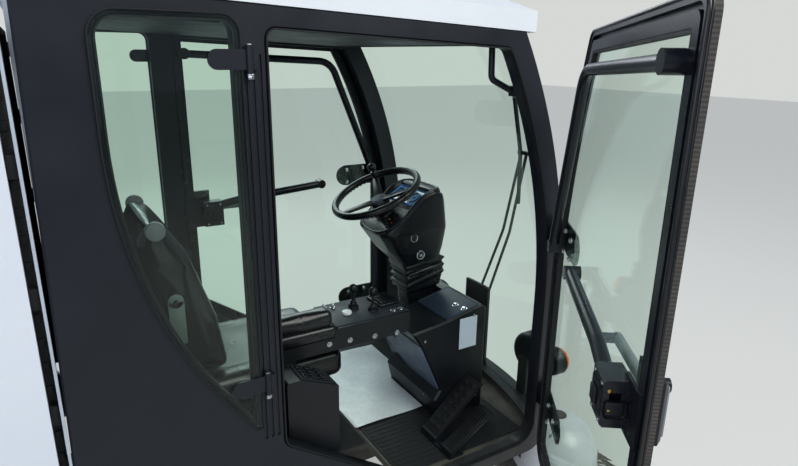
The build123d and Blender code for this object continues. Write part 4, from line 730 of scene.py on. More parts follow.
side_loops = section("side_frame_left", (0, CAB_HALF - 4, 0), ACROSS)
quarter_loop = flush(section("quarter_glass", (0, CAB_HALF + 3, 0), ACROSS)[0], 0)
opening_loop, quarter_opening = side_loops[1:3]
for side_name, place in SIDES.items():
    shape = bmesh.new()
    band(shape, thinned(flush(opening_loop, 0), 6), CAB_HALF - 14, CAB_HALF + 4.5, -4)
    band(shape, thinned(flush(quarter_opening, 0), 6), CAB_HALF - 12, CAB_HALF + 1, -4)
    to_object(f"opening_seal_{side_name}", shape, seal_rubber, place=place)
    shape = bmesh.new()
    band(shape, thinned(quarter_loop, 6), CAB_HALF + 0.5, CAB_HALF + 7.5, 3)
    to_object(f"quarter_seal_{side_name}", shape, seal_rubber, place=place)
    bolts = bmesh.new()
    for z in (959, 1803):
        foot = z - 32
        rod(bolts, (-45, CAB_HALF + 12, foot), (-45, CAB_HALF + 12, foot - 3), 10, sides=24, edge=0.6)
        rod(bolts, (-45, CAB_HALF + 12, foot - 3), (-45, CAB_HALF + 12, foot - 12), 8, sides=6, edge=1)
        rod(bolts, (-45, CAB_HALF + 12, z + 32), (-45, CAB_HALF + 12, z + 35), 7, sides=20, edge=1)
    to_object(f"pillar_bolts_{side_name}", bolts, plated_steel, place=place)

SCREEN_AXIS_X = -312
screen_rows = {}
for z in (436, 1862):
    loop = section("windscreen", (0, 0, z), UP)[0]
    reach = max(hypot(p.x - SCREEN_AXIS_X, p.y) for p in loop)
    spread = max(atan2(p.y, p.x - SCREEN_AXIS_X) for p in loop)
    screen_rows[z] = [Vector((SCREEN_AXIS_X + reach * cos(a), reach * sin(a), z))
                      for a in between(-spread, spread, 40)]
for z, row in screen_rows.items():
    shift = -4 if z < 1000 else 4
    path = [p + Vector((1, 0, shift)) for p in row]
    cord_along(f"screen_seal_{z}", path, 7, seal_rubber, "machine", closed=False)


# Lamps

for side_name, place in SIDES.items():
    shape = bmesh.new()
    centre = Vector((1218, 345, 615))
    profile = [(74, -11), (74, -6), (70, -2.5), (56, -0.6), (36, 0.6), (16, 1.2), (0.2, 1.4)]
    turned(shape, [centre + Vector((x, 0, r)) for r, x in profile], centre, AHEAD, 48)
    bmesh.ops.recalc_face_normals(shape, faces=shape.faces[:])
    to_object(f"headlamp_lens_{side_name}", shape, lamp_clear, place=place)
    shape = bmesh.new()
    ring(shape, centre - Vector((3, 0, 0)), AHEAD, 79.5, 4, steps=56)
    ring(shape, Vector((1152, 525, 668)), AHEAD, 50, 4, steps=40)
    for angle in (0.5, 2.6, 4.7):
        spot = at_angle(centre - Vector((2, 0, 0)), ACROSS, UP, 80, angle)
        rod(shape, spot, spot + Vector((4, 0, 0)), 3.4, sides=12, edge=0.6)
    to_object(f"headlamp_rim_{side_name}", shape, seal_rubber, place=place)


# Steering wheel and pod

def smoothed(shape, verts, rounds):
    for turn in range(rounds):
        bmesh.ops.smooth_vert(shape, verts=verts, factor=0.5, use_axis_x=True, use_axis_y=True,
                              use_axis_z=True)


def softened(name, node, material, voxel, rounds, floor_z):
    """A moulded skin over a solid: an even copy whose edges above a height are rounded off by smoothing."""
    skin = bpy.data.objects.new(name, frame["nodes"][node].data.copy())
    bpy.context.scene.collection.objects.link(skin)
    even = skin.modifiers.new("even", "REMESH")
    even.mode = "VOXEL"
    even.voxel_size = voxel * MM
    shown = skin.evaluated_get(bpy.context.evaluated_depsgraph_get())
    shape = bmesh.new()
    shape.from_mesh(bpy.data.meshes.new_from_object(shown))
    bpy.data.objects.remove(skin)
    shape.transform(TO_DRAWING)
    upper = [v for v in shape.verts if v.co.z > floor_z]
    smoothed(shape, upper, rounds)
    lower = [v for v in shape.verts if v.co.z <= floor_z]
    smoothed(shape, lower, 2)
    piece = to_object(name, shape, material, "machine", smooth=60)
    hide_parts(node)


softened("column_skin", "steering_column", pod_black, 4.5, 14, 1020)

RIM_RADIUS = 172
GRIP_R = 14
HUB_DROP = 30
FAR_SPOKE = 60
right_hand = Vector(ACROSS)
wheel_fore = right_hand.cross(WHEEL_UP)
shape = bmesh.new()
ring(shape, WHEEL_AT, WHEEL_UP, RIM_RADIUS, GRIP_R, steps=80, sides=16)
rod(shape, WHEEL_AT - WHEEL_UP * 92, WHEEL_AT - WHEEL_UP * (HUB_DROP + 4), 36, 40, sides=48, edge=4)
rod(shape, WHEEL_AT - WHEEL_UP * 150, WHEEL_AT - WHEEL_UP * 90, 13.9, sides=32)
rim = to_object("wheel_rim", shape, pod_black, "steering_wheel", smooth=50)
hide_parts("steering_wheel")
for angle in (FAR_SPOKE, FAR_SPOKE + 120, FAR_SPOKE + 240):
    out = at_angle((0, 0, 0), wheel_fore, right_hand, 1, radians(angle))
    turn = Matrix((out, WHEEL_UP.cross(out), WHEEL_UP)).transposed().to_4x4()
    shape = bmesh.new()
    block(shape, (24, -19, -6), (RIM_RADIUS - 4, 19, 5), 4, 3)
    for vert in shape.verts:
        reach = (vert.co.x - 24) / (RIM_RADIUS - 28)
        vert.co.y *= 1 - 0.4 * reach
        vert.co.z -= HUB_DROP * (1 - reach)
    to_object(f"wheel_spoke_{angle}", shape, pod_black, "steering_wheel", Matrix.Translation(WHEEL_AT) @ turn)
shape = bmesh.new()
pad_foot, pad_top = [WHEEL_AT - WHEEL_UP * (HUB_DROP + drop) for drop in (6, -6)]
rod(shape, pad_foot, pad_top, 39, 34, sides=48, edge=4)
to_object("horn_pad", shape, lining_blue, "steering_wheel")
shape = bmesh.new()
for i in range(60):
    place_on_rim = at_angle(WHEEL_AT, wheel_fore, right_hand, RIM_RADIUS, 2 * pi * i / 60)
    inward = (WHEEL_AT - place_on_rim).normalized()
    ball(shape, place_on_rim - WHEEL_UP * 10 + inward * 3.5, 6.4)
to_object("wheel_finger_grips", shape, moulded_black, "steering_wheel")
shape = bmesh.new()
knob_foot = at_angle(WHEEL_AT, wheel_fore, right_hand, RIM_RADIUS, radians(FAR_SPOKE))
rod(shape, knob_foot, knob_foot + WHEEL_UP * 20, 17, 13, sides=28, edge=2)
rod(shape, knob_foot + WHEEL_UP * 18, knob_foot + WHEEL_UP * 26, 7, sides=16)
ball(shape, knob_foot + WHEEL_UP * 40, 19, 0.85, WHEEL_UP)
to_object("wheel_knob", shape, pod_black, "steering_wheel")


def tilted(foot, run, up):
    """Matrix from a panel's own axes (along, across, out) to the drawing."""
    return Matrix.Translation(foot) @ Matrix((run, Vector(ACROSS), up)).transposed().to_4x4()


# Instrument panel under its hood: the board lies just below the rim of the recess.
PANEL_FOOT = Vector((714, 0, 1240))
PANEL_HEAD = Vector((808, 0, 1297))
PANEL_HALF = 100
panel_run = (PANEL_HEAD - PANEL_FOOT).normalized()
panel_length = (PANEL_HEAD - PANEL_FOOT).length
panel_up = Vector((-panel_run.z, 0, panel_run.x))
panel_place = tilted(PANEL_FOOT, panel_run, panel_up)
boxes("instrument_panel", pod_black, [
    ((0, -PANEL_HALF - 5, -24), (panel_length + 4, PANEL_HALF + 5, -1), 6, 3)], place=panel_place)
boxes("instrument_display", display_blue, [
    ((16, -PANEL_HALF + 8, -3), (panel_length - 6, PANEL_HALF - 8, 2), 9, 4)], place=panel_place)
shape = bmesh.new()
for across in (-56, 0, 56):
    ring(shape, (62, across, 2), UP, 25, 3, steps=40, sides=8)
    rod(shape, (62, across, 1), (62, across, 3.5), 7, 5, sides=24, edge=1)
for across in (-28, 28):
    rod(shape, (40, across, 1), (40, across, 4), 9, sides=24, edge=1)
block(shape, (-6, -PANEL_HALF - 4, -10), (14, PANEL_HALF + 4, 4), 4, 3)
to_object("instrument_dials", shape, pod_black, place=panel_place)
hood = bent([(702, -116, 1230), (764, -116, 1286), (812, -116, 1306), (846, -104, 1308), (856, -60, 1308),
             (856, 60, 1308), (846, 104, 1308), (812, 116, 1306), (764, 116, 1286), (702, 116, 1230)], 22)
cord_along("instrument_hood_rim", hood, 9, pod_black, "machine", closed=False)
boxes("instrument_hood", pod_black, [((802, -108, 1262), (860, 108, 1312), 14, 4)])

shelf_run = Vector((84, 0, 64)).normalized()
shelf_place = tilted(Vector((616, 0, 1170)), shelf_run, Vector((-shelf_run.z, 0, shelf_run.x)))
shelf_rim = bent([(690, -121, 1224), (622, -110, 1172), (596, -60, 1152), (592, 0, 1149), (596, 60, 1152),
                  (622, 110, 1172), (690, 121, 1224)], 40)
cord_along("shelf_rim", shelf_rim, 5, pod_black, "machine", closed=False)
lights = {button_red: (-52, 12), button_amber: (-32, -12, 48), button_green: (-2, 30),
          button_white: (-20, 22, 40)}
for material, places in lights.items():
    shape = bmesh.new()
    for across in places:
        along = 52 + sqrt(max(0, 90 ** 2 - across ** 2)) - 90
        rod(shape, (along, across * 1.6, -2), (along, across * 1.6, 1.5), 4, 3, sides=16, edge=0.6)
    to_object(f"tell_tales_{material.name}", shape, material, place=shelf_place)
shape = bmesh.new()
for across in range(-80, 81, 20):
    along = 40 + sqrt(max(0, 130 ** 2 - across ** 2)) - 130
    rod(shape, (along, across, -3), (along, across, 5), 8, 7, sides=24, edge=1.5)
to_object("shelf_buttons", shape, moulded_black, place=shelf_place)

# Round caps on the pod's sides: a plain plug and the lock with its bright ring.
PLUG_X = 724
LOCK_X = 770
for side_name, place in SIDES.items():
    shape = bmesh.new()
    rod(shape, (PLUG_X, 112, 1130), (PLUG_X, 127, 1128), 18, 15, sides=36, edge=3)
    ball(shape, (PLUG_X, 126, 1128), 8, 0.5, ACROSS)
    rod(shape, (LOCK_X, 90, 1046), (LOCK_X, 104, 1044), 17, 15, sides=36, edge=2)
    to_object(f"pod_caps_{side_name}", shape, pod_black, place=place)
    shape = bmesh.new()
    ring(shape, (PLUG_X, 125, 1128), ACROSS, 15, 1.6, steps=40)
    ring(shape, (LOCK_X, 103, 1044), ACROSS, 17, 3.2, steps=40)
    rod(shape, (LOCK_X, 100, 1044), (LOCK_X, 107, 1044), 7, sides=24, edge=1)
    for x, z in ((870, 962), (800, 955), (742, 940)):
        rod(shape, (x, 61, z), (x, 66, z), 5, sides=20, edge=1)
    to_object(f"column_bright_parts_{side_name}", shape, plated_steel, place=place)
# Clamp cover: a stout bar across the foot of the pod, tapering to its bolt.
for side_name, place in SIDES.items():
    shape = bmesh.new()
    rod(shape, (724, 60, 978), (892, 60, 1006), 13, 17, sides=28, edge=4)
    rod(shape, (738, 62, 946), (902, 62, 972), 8, 10, sides=24, edge=3)
    to_object(f"clamp_bar_{side_name}", shape, pod_black, place=place)


# Heater box

HEATER_HIGH = node_box("heater_box")[1]
HEATER_TOP = HEATER_HIGH.z
HEATER_LEFT = HEATER_HIGH.y
HEATER_FOOT_X = 738
slope = Vector((940 - 769, 0, 39)).normalized()
heater_place = tilted(Vector((769, -110, HEATER_TOP - 39)), slope, Vector((-slope.z, 0, slope.x)))
boxes("heater_top_panel", lining_blue, [((6, -184, -0.5), (166, 30, 3), 4, 3)], place=heater_place)
shape = bmesh.new()
for along, across in ((96, -118), (102, -168)):
    hex_bolt(shape, (along, across, 2), UP, 17, 9)
to_object("heater_bolts", shape, plated_steel, place=heater_place)
KICK_TOP = Vector((651, 0, 753))
KICK_FOOT = Vector((748, 0, 532))
kick_run = (KICK_FOOT - KICK_TOP).normalized()
kick_place = tilted(KICK_TOP, kick_run, Vector((kick_run.z, 0, -kick_run.x)))
shape = bmesh.new()
sheet = [(3, -296), (238, -296), (238, -62), (129, 37), (78, 60), (78, -80), (3, -80)]
corners = [shape.verts.new((along, across, -0.5)) for along, across in sheet]
grown = bmesh.ops.extrude_face_region(shape, geom=[shape.faces.new(corners)])["geom"]
bmesh.ops.translate(shape, verts=[g for g in grown if isinstance(g, bmesh.types.BMVert)], vec=(0, 0, 4))
bmesh.ops.recalc_face_normals(shape, faces=shape.faces[:])
uprights = [e for e in shape.edges if abs(e.verts[0].co.z - e.verts[1].co.z) > 1]
bmesh.ops.bevel(shape, geom=uprights, offset=14, segments=4, affect="EDGES", profile=0.5, material=-1)
to_object("heater_kick_panel", shape, kick_blue, place=kick_place)
boxes("blank_label", blank_vinyl, [((833, -301.2, 694), (918, -299.8, 826), 0)])
shape = bmesh.new()
for x, z in ((670, 540), (670, 770), (900, 830), (930, 460), (780, 440)):
    rod(shape, (x, -300, z), (x, -303, z), 6, sides=18, edge=1)
to_object("heater_screws", shape, plated_steel)


# Console, switch box and pedals

boxes("console_top", panel_grey, [((292, -314, 923), (588, -126, 928), 4, 3)])
shape = bmesh.new()
for x, y, lean in ((420, -190, 6), (470, -250, -4)):
    for i, radius in enumerate((20, 17, 14, 11)):
        rod(shape, (x, y, 928 + 7 * i), (x, y, 934 + 7 * i), radius, radius - 3, sides=24, edge=1)
    ball(shape, (x, y, 1000), 15.5, 1.15)
block(shape, (498, -248, 927), (586, -146, 938), 4, 3)
for y in range(-240, -150, 14):
    block(shape, (506, y - 4, 937), (578, y + 4, 944), 2, 2)
to_object("console_controls", shape, pod_black)
shape = bmesh.new()
for x, y in ((350, -160), (320, -150), (532, -290), (562, -290)):
    rod(shape, (x, y, 926), (x, y, 936), 4.5, sides=18)
    ring(shape, (x, y, 928.5), UP, 9, 2.4, steps=28)
for x, z in ((262, 874), (340, 870), (438, 862), (530, 853)):
    rod(shape, (x, -322, z), (x, -323.5, z), 10, sides=24, edge=0.6)
    rod(shape, (x, -323, z), (x, -327, z), 7, sides=20, edge=1.8)
to_object("console_bright_parts", shape, plated_steel)
shape = bmesh.new()
for x, y in ((350, -160), (320, -150)):
    ball(shape, (x, y, 940), 6, 1.3)
rod(shape, (372, -232, 927), (372, -232, 938), 19, 17, sides=36, edge=3)
to_object("console_toggles", shape, button_white)

top_run = Vector((201 - 76, 0, 838 - 892)).normalized()
switch_place = tilted(Vector((76, -462, 892)), top_run, Vector((-top_run.z, 0, top_run.x)))
boxes("switch_panel", panel_grey, [((6, -50, -0.5), (128, 50, 3), 4, 3)], place=switch_place)
shape = bmesh.new()
for along in (16, 50, 84):
    for across in (-33, -11, 11, 33):
        block(shape, (along, across - 8.5, 2), (along + 26, across + 8.5, 8), 2.5, 3)
to_object("rocker_switches", shape, pod_black, place=switch_place)

for name, y0, y1, tip_x, tip_z in (("drive", -428, -335, 860, 595), ("brake", -527, -462, 835, 526)):
    foot = Vector((654, (y0 + y1) / 2, 415))
    run = Vector((tip_x, foot.y, tip_z)) - foot
    length = run.length
    run.normalize()
    up = Vector((-run.z, 0, run.x))
    half = (y1 - y0) / 2 - 3
    shape = bmesh.new()
    block(shape, (14, -half, 10), (length - 4, half, 14), 2, 2)
    if name == "drive":
        for along in between(38, length - 28, 7):
            for across in (-half * 0.45, half * 0.45):
                block(shape, (along - 10, across - 15, 13), (along + 10, across + 15, 18), 3, 2)
                block(shape, (along - 4, across - 8, 17), (along + 4, across + 8, 19.5), 1.5, 2)
    else:
        for along in between(26, length - 16, 17):
            block(shape, (along - 2.4, -half + 5, 13), (along + 2.4, half - 5, 17), 1.2, 2)
    to_object(f"pedal_pad_{name}", shape, seal_rubber, "machine", tilted(foot, run, up))


# Cushions

def plump(name, node, material, shrink, low_pin, seams, voxel=6, cap=20, shift=(0, 0, 0)):
    """A padded cover: a slightly smaller copy of the solid, blown up between its sewn lines."""
    low, high = node_box(node)
    shape = bmesh.new()
    shape.from_mesh(frame["nodes"][node].data)
    shape.transform(TO_DRAWING)
    centre = (low + high) / 2
    size = high - low
    for vert in shape.verts:
        for axis in range(3):
            ratio = 1 - 2 * shrink / size[axis]
            vert.co[axis] = centre[axis] + (vert.co[axis] - centre[axis]) * ratio + shift[axis]
    shape.transform(TO_FRAME)
    mesh = bpy.data.meshes.new(name)
    shape.to_mesh(mesh)
    shape.free()
    pad = bpy.data.objects.new(name, mesh)
    bpy.context.scene.collection.objects.link(pad)
    remesh = pad.modifiers.new("even", "REMESH")
    remesh.mode = "VOXEL"
    remesh.voxel_size = voxel * MM
    settle(pad, 1)
    pad.modifiers.clear()
    rest = [v.co.copy() for v in pad.data.vertices]
    held = pad.vertex_groups.new(name="held")
    tied = []
    for index, point in enumerate(rest):
        spot = TO_DRAWING @ point
        if low_pin(spot) or any(abs(seam(spot)) < voxel * 0.75 for seam in seams):
            tied.append(index)
    held.add(tied, 1.0, "REPLACE")
    cloth = pad.modifiers.new("stuffing", "CLOTH")
    cloth.settings.quality = 5
    cloth.settings.use_pressure = True
    cloth.settings.uniform_pressure_force = 4
    cloth.settings.vertex_group_mass = "held"
    cloth.settings.effector_weights.gravity = 0
    cloth.settings.tension_stiffness = 12
    cloth.settings.compression_stiffness = 12
    cloth.settings.bending_stiffness = 2
    cloth.point_cache.frame_start = 1
    cloth.point_cache.frame_end = 20
    settle(pad, 20)
    pad.modifiers.clear()
    for vert, start in zip(pad.data.vertices, rest):
        move = vert.co - start
        if move.length > cap * MM:
            vert.co = start + move.normalized() * cap * MM
    pad.data.shade_smooth()
    pad.data.materials.clear()
    pad.data.materials.append(material)
    soft = pad.modifiers.new("soft", "SUBSURF")
    soft.levels = 1
    soft.render_levels = 1
    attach(pad, "machine")
    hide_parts(node)


def settle(pad, last):
    """Runs an object's modifiers up to a frame and keeps the result as its mesh."""
    scene = bpy.context.scene
    for step in range(1, last + 1):
        scene.frame_set(step)
    shown = pad.evaluated_get(bpy.context.evaluated_depsgraph_get())
    pad.data = bpy.data.meshes.new_from_object(shown)
    scene.frame_set(1)


SEAT_LOW, SEAT_HIGH = node_box("seat_cushion")
BACK_LOW, BACK_HIGH = node_box("seat_back")
BOLSTER_Y = 150
cushion_seams = [lambda p: abs(p.y) - BOLSTER_Y, lambda p: p.x - (SEAT_HIGH.x - 120)]
plump("seat_cushion_cover", "seat_cushion", seat_vinyl, 12, lambda p: p.z < SEAT_LOW.z + 36,
      cushion_seams, shift=(10, 0, 4))
back_seams = [lambda p: abs(p.y) - BOLSTER_Y * 0.9, lambda p: p.z - 1190]
plump("seat_back_cover", "seat_back", seat_shell, 12, lambda p: p.x < -270 or p.z < BACK_LOW.z + 24,
      back_seams)
plump("arm_pad_cover", "arm_pad", seat_vinyl, 5, lambda p: p.z < 945, [], voxel=4, cap=9)
boxes("arm_rest_shell", seat_vinyl, [((46, -331, 892), (287, -253, 940), 14, 4)])
CAP_X, CAP_Z = -232, 1312
RECLINER_X, RECLINER_Z = -196, 1085
shape = bmesh.new()
for side in (-1, 1):
    out = side * BACK_HIGH.y
    rod(shape, (CAP_X, out - side * 14, CAP_Z), (CAP_X, out + side * 4, CAP_Z), 30, 28, sides=40, edge=2.5)
    for angle in (0.6, 2.2, 4.1, 5.4):
        spot = at_angle((CAP_X, out + side * 4, CAP_Z), AHEAD, UP, 19, angle)
        rod(shape, spot, spot + Vector((0, side * 1.5, 0)), 2.6, sides=12, edge=0.5)
to_object("seat_back_caps", shape, handle_grey)
shape = bmesh.new()
for side in (-1, 1):
    out = side * (BACK_HIGH.y + 1)
    rod(shape, (RECLINER_X, out, RECLINER_Z), (RECLINER_X, out + side * 5, RECLINER_Z), 24, 23, sides=40,
        edge=1.5)
    near, far = sorted((out, out + side * 5))
    block(shape, (RECLINER_X - 24, near, 940), (RECLINER_X + 24, far, RECLINER_Z), 1.5, 2)
to_object("recliner_plates", shape, recliner_grey)
shape = bmesh.new()
for side in (-1, 1):
    out = side * (BACK_HIGH.y + 6)
    rod(shape, (RECLINER_X, out, RECLINER_Z), (RECLINER_X, out + side * 7, RECLINER_Z), 8, sides=6, edge=1)
to_object("recliner_bolts", shape, chassis_black)
belt = bent([(-150, 262, 700), (-120, 262, 800), (-60, 250, 842), (10, 236, 838)], 40)
boxes("belt_buckle", button_red, [((-92, 242, 822), (-34, 258, 838), 3, 3)])
cord_along("belt_stalk", belt, 7, webbing, "machine", closed=False)
for side in (1, -1):
    boxes(f"seat_rail_{side}", plated_steel, [
        ((-180, side * 204 - 6, 612), (280, side * 204 + 6, 642), 3, 2),
        ((-160, side * 204 - 4, 642), (-110, side * 204 + 4, 668), 2, 2)])


# Floor, mat and walls of the cab

shape = bmesh.new()
block(shape, (440, -CAB_IN + 20, FLOOR_Z), (1000, CAB_IN - 20, FLOOR_Z + 3), 1, 1)
for y in range(-480, 490, 24):
    block(shape, (452, y - 5, FLOOR_Z + 2), (640, y + 5, FLOOR_Z + 5), 1, 1)
to_object("floor_rubber", shape, seal_rubber)
boxes("platform_rubber", seal_rubber, [
    ((-480, -CAB_IN + 12, PLATFORM_Z), (292, CAB_IN - 12, PLATFORM_Z + 3), 1, 1)])
# Paper mat, turned a little, up against the seat base behind and cut short at the heater's foot.
MAT_DEPTH = 420
MAT_WIDTH = 592
shape = bmesh.new()
bmesh.ops.create_grid(shape, x_segments=40, y_segments=56, size=0.5,
                      matrix=Matrix.Diagonal((MAT_DEPTH, MAT_WIDTH, 1, 1)))
chance = random.Random(4)
for vert in shape.verts:
    along, across = vert.co.x + MAT_DEPTH / 2, vert.co.y + MAT_WIDTH / 2
    vert.co.x = 377 + along + 0.035 * across
    vert.co.y = -191 + across - 0.01 * along
    if vert.co.y < HEATER_LEFT:
        vert.co.x = min(vert.co.x, HEATER_FOOT_X)
    vert.co.z = FLOOR_Z + 9 + 1.5 * max(0, 424 - vert.co.x)
    vert.co.z += 2 * sin(vert.co.x / 47) * cos(vert.co.y / 61) + chance.uniform(-0.2, 0.2)
bmesh.ops.solidify(shape, geom=shape.faces[:], thickness=0.8)
to_object("paper_mat", shape, button_white)
wall = node_box("cab_rear_wall")
boxes("rear_wall_lining", panel_grey, [
    ((wall[1].x - 1, -CAB_IN + 60, 700), (wall[1].x + 14, CAB_IN - 60, 1180), 6, 3)])
boxes("roof_lining", panel_grey, [
    ((-440, -500, 1880), (640, 500, 1892), 6, 3)], "machine", Matrix.Rotation(radians(2.5), 4, "Y"))


# Outside of the cab and body

shape = bmesh.new()
for side in (-1, 1):
    for z in (720, 1010, 1300, 1590, 1820):
        block(shape, (-551, side * 560 - 14, z - 26), (-531, side * 560 + 14, z + 26), 3, 2)
to_object("body_buffers", shape, seal_rubber)
CAB_REAR = node_box("side_frame_left")[0].x
shape = bmesh.new()
for side in (-1, 1):
    near, far = sorted((side * (CAB_HALF - 42), side * (CAB_HALF - 30)))
    block(shape, (-553, near, 610), (CAB_REAR - 3, far, 1880), 3, 2)
    for z in range(640, 1860, 60):
        block(shape, (-550, near - 4, z), (CAB_REAR - 6, far + 4, z + 22), 3, 2)
block(shape, (-553, -CAB_HALF + 30, 1868), (CAB_REAR - 3, CAB_HALF - 30, 1880), 3, 2)
to_object("cab_gap_seal", shape, seal_rubber)
BEACON_FOOT = Vector((-850, 0, BODY_TOP))
shape = bmesh.new()
rod(shape, BEACON_FOOT, BEACON_FOOT + Vector((0, 0, 10)), 66, 62, sides=48, edge=3)
ring(shape, BEACON_FOOT + Vector((0, 0, 12)), UP, 58, 3, steps=48)
to_object("beacon_base", shape, moulded_black)
LOUVRES = 9
LOUVRE_Z = 900
LOUVRE_STEP = 62
ARCH_CENTRE = (-1500, 0, 270)
ARCH_R = 320
for side_name, place in SIDES.items():
    shape = bmesh.new()
    for row in range(LOUVRES):
        z = LOUVRE_Z + LOUVRE_STEP * row
        block(shape, (-1044, BODY_HALF - 20, z + 12), (-658, BODY_HALF - 1, z + 16), 1, 1)
    to_object(f"louvre_blades_{side_name}", shape, chassis_black, place=place)
    shape = bmesh.new()
    for z in (640, 1000, 1400, 1800):
        rod(shape, (-1125, BODY_HALF, z), (-1125, BODY_HALF + 2.5, z), 9, 7, sides=24, edge=1)
    for z in (760, 1560):
        block(shape, (-640, BODY_HALF - 1, z - 30), (-606, BODY_HALF + 6, z + 30), 3, 3)
        rod(shape, (-623, BODY_HALF + 5, z), (-623, BODY_HALF + 9, z), 10, sides=28, edge=1.5)
    to_object(f"housing_latches_{side_name}", shape, moulded_black, place=place)
    boxes(f"panel_edge_strip_{side_name}", edge_silver, [
        ((CAB_REAR - 1.5, CAB_HALF - 10, 430), (CAB_REAR + 5, CAB_HALF + 1.2, 1880), 0.6, 1)], place=place)
    # The front flap hangs behind the sweep of the tyre at full lock.
    boxes(f"mudflap_front_{side_name}", seal_rubber, [
        ((-290, 392, 120), (-282, 566, 420), 3, 2),
        ((-296, 388, 390), (-278, 570, 424), 2, 2)], place=place)
    boxes(f"mudflap_rear_{side_name}", seal_rubber, [
        ((-1858, 392, 110), (-1850, 566, 372), 3, 2)], place=place)
    arch = [at_angle(ARCH_CENTRE, AHEAD, UP, ARCH_R, pi * i / 24) for i in range(1, 24)]
    path = [p + Vector((0, BODY_HALF - 2, 0)) for p in arch if p.z > 352]
    cord_along(f"arch_bead_{side_name}", path, 7, seal_rubber, "machine", place, closed=False)
hatch_low = node_box("hopper_hatch")[0]
shape = bmesh.new()
for y in (-560, 560):
    for z in (700, 1000, 1300, 1600, 1850):
        hex_bolt(shape, (hatch_low.x + 38, y, z), (-1, 0, 0), 13, 7)
for y in (-130, 130):
    rod(shape, (hatch_low.x + 14, y, 702), (hatch_low.x + 36, y, 702), 14, sides=24, edge=2)
to_object("hatch_bolts", shape, plated_steel, "hatch")
for side_name, place in SIDES.items():
    shape = bmesh.new()
    for z in (760, 1100, 1440, 1780):
        block(shape, (-2196, BODY_HALF - 1, z - 28), (-2150, BODY_HALF + 9, z + 28), 4, 3)
        rod(shape, (-2173, BODY_HALF + 8, z), (-2173, BODY_HALF + 14, z), 9, sides=24, edge=1.5)
    to_object(f"hopper_clamps_{side_name}", shape, plated_steel, "hopper", place)
seal_loop = [Vector((-2201.5, y, z)) for y, z in ((-560, 668), (560, 668), (560, 1868), (-560, 1868))]
cord_along("hatch_seal", bent(seal_loop + [seal_loop[0]], 30), 5, seal_rubber, "hopper", closed=False)
for side in (-1, 1):
    shape = bmesh.new()
    for y in (452, 495, 538):
        block(shape, (-2119.5, side * y - 18, 381), (-2116, side * y + 18, 441), 3, 3)
    to_object(f"rear_lamp_lenses_{side}", shape, lamp_red)
nozzle_low, nozzle_high = node_box("suction_nozzle")
shape = bmesh.new()
for back, front in ((nozzle_low.x - 3, nozzle_low.x + 8), (nozzle_high.x - 8, nozzle_high.x + 3)):
    block(shape, (back, -346, 12), (front, 346, 70), 2, 2)
to_object("nozzle_flaps", shape, seal_rubber)
shape = bmesh.new()
for z in range(240, 1240, 40):
    ring(shape, (-690, 0, z), UP, 100, 5, steps=40)
to_object("duct_ribs", shape, seal_rubber)
shape = bmesh.new()
for y in (40, -20):
    rod(shape, (1200, y, 735), (1209, y, 735), 13, 9, sides=28, edge=2)
to_object("wiper_caps", shape, moulded_black)
BUMPER_R = 1525
BUMPER_FRONT = node_box("bumper")[1].x
shape = bmesh.new()
for y in (-430, -250, 250, 430):
    hex_bolt(shape, (sqrt(BUMPER_R ** 2 - y ** 2) - BUMPER_R + BUMPER_FRONT, y, 388), AHEAD, 14, 7)
to_object("bumper_bolts", shape, plated_steel)


# Camera, backdrop and light

CAMERA_AT = (-488, -1989, 1817)
HEADING = 58.53
PITCH_DOWN = 16.72
ROLL = 0.78
LENS = 26.67
PALE = colour("#d6d8d6")


def view_matrix(place, heading, down, roll):
    """Camera matrix from a heading left of forward, a dip below level and a roll, in degrees."""
    heading, down, roll = radians(heading), radians(down), radians(roll)
    level = Vector((cos(heading), sin(heading), 0))
    across = Vector((sin(heading), -cos(heading), 0))
    forward = level * cos(down) - Vector((0, 0, sin(down)))
    above = level * sin(down) + Vector((0, 0, cos(down)))
    right = across * cos(roll) + above * sin(roll)
    up = above * cos(roll) - across * sin(roll)
    turn = Matrix((right, up, -forward)).transposed().to_4x4()
    return Matrix.Translation(TO_FRAME @ Vector(place)) @ turn


camera_data = bpy.data.cameras.new("camera")
camera_data.lens = LENS
camera_data.sensor_width = 36
camera_data.sensor_fit = "HORIZONTAL"
camera_data.clip_start = 0.05
camera_data.clip_end = 100
camera = bpy.data.objects.new("camera", camera_data)
camera.matrix_world = view_matrix(CAMERA_AT, HEADING, PITCH_DOWN, ROLL)
bpy.context.scene.collection.objects.link(camera)
bpy.context.scene.camera = camera

scene = bpy.context.scene
scene.view_settings.view_transform = "Standard"

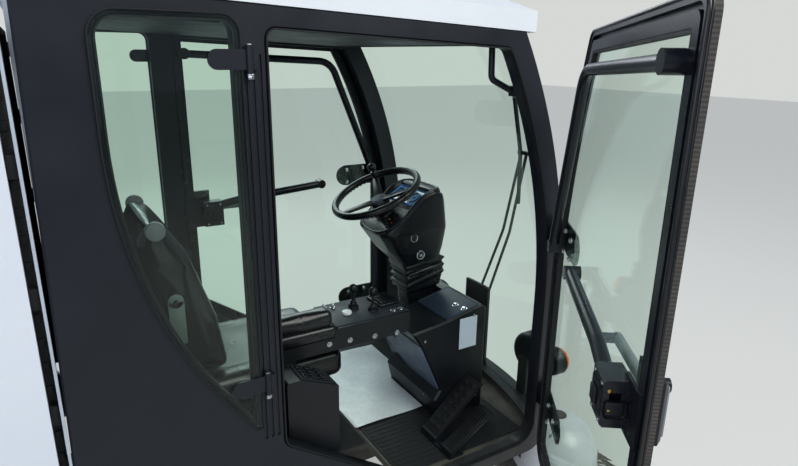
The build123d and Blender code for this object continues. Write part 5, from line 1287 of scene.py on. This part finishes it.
floor_shape = bmesh.new()
bmesh.ops.create_grid(floor_shape, x_segments=2, y_segments=2, size=30)
floor_mesh = bpy.data.meshes.new("floor")
floor_shape.to_mesh(floor_mesh)
floor_shape.free()
floor = bpy.data.objects.new("floor", floor_mesh)
floor.location = (0, 0, -0.001)
scene.collection.objects.link(floor)
floor_paint = bpy.data.materials.new("floor_paint")
floor_paint.use_nodes = True
floor_tree = floor_paint.node_tree
floor_tree.nodes.clear()
floor_shader = add(floor_tree, "ShaderNodeBsdfPrincipled", {
    "Base Color": colour("#c8c9c6"), "Roughness": 0.9})
floor_glow = add(floor_tree, "ShaderNodeEmission", {"Color": PALE, "Strength": 1.0})
floor_seen = add(floor_tree, "ShaderNodeLightPath")
floor_share = add(floor_tree, "ShaderNodeMath", {0: floor_seen.outputs["Is Camera Ray"], 1: 0.6},
                  operation="MULTIPLY")
floor_mix = add(floor_tree, "ShaderNodeMixShader", {
    0: floor_share.outputs["Value"], 1: floor_shader.outputs["BSDF"], 2: floor_glow.outputs["Emission"]})
add(floor_tree, "ShaderNodeOutputMaterial", {"Surface": floor_mix.outputs["Shader"]})
floor_mesh.materials.append(floor_paint)

world = bpy.data.worlds.new("studio")
scene.world = world
world.use_nodes = True
sky = world.node_tree
sky.nodes.clear()
seen = add(sky, "ShaderNodeLightPath")
room = add(sky, "ShaderNodeBackground", {"Color": colour("#d5e1f2"), "Strength": 0.55})
backdrop = add(sky, "ShaderNodeBackground", {"Color": PALE, "Strength": 1.0})
shown_sky = add(sky, "ShaderNodeMixShader", {0: seen.outputs["Is Camera Ray"], 1: room.outputs["Background"],
                                             2: backdrop.outputs["Background"]})
add(sky, "ShaderNodeOutputWorld", {"Surface": shown_sky.outputs["Shader"]})


def soft_box(name, place, target, size, watts, tint):
    lamp = bpy.data.lights.new(name, "AREA")
    lamp.shape = "RECTANGLE"
    lamp.size, lamp.size_y = size
    lamp.energy = watts
    lamp.color = colour(tint)[:3]
    holder = bpy.data.objects.new(name, lamp)
    spot = TO_FRAME @ Vector(place)
    look = (TO_FRAME @ Vector(target)) - spot
    holder.matrix_world = Matrix.Translation(spot) @ look.to_track_quat("-Z", "Y").to_matrix().to_4x4()
    scene.collection.objects.link(holder)


MIDDLE = (300, 0, 900)
soft_box("key_light", (2600, -4200, 5200), MIDDLE, (3.5, 3.5), 330, "#fffaf2")
soft_box("fill_light", (-3600, -3600, 3200), MIDDLE, (4, 3), 110, "#eef4ff")
soft_box("rim_light", (1500, 4600, 4200), MIDDLE, (4, 3), 190, "#f4f8ff")
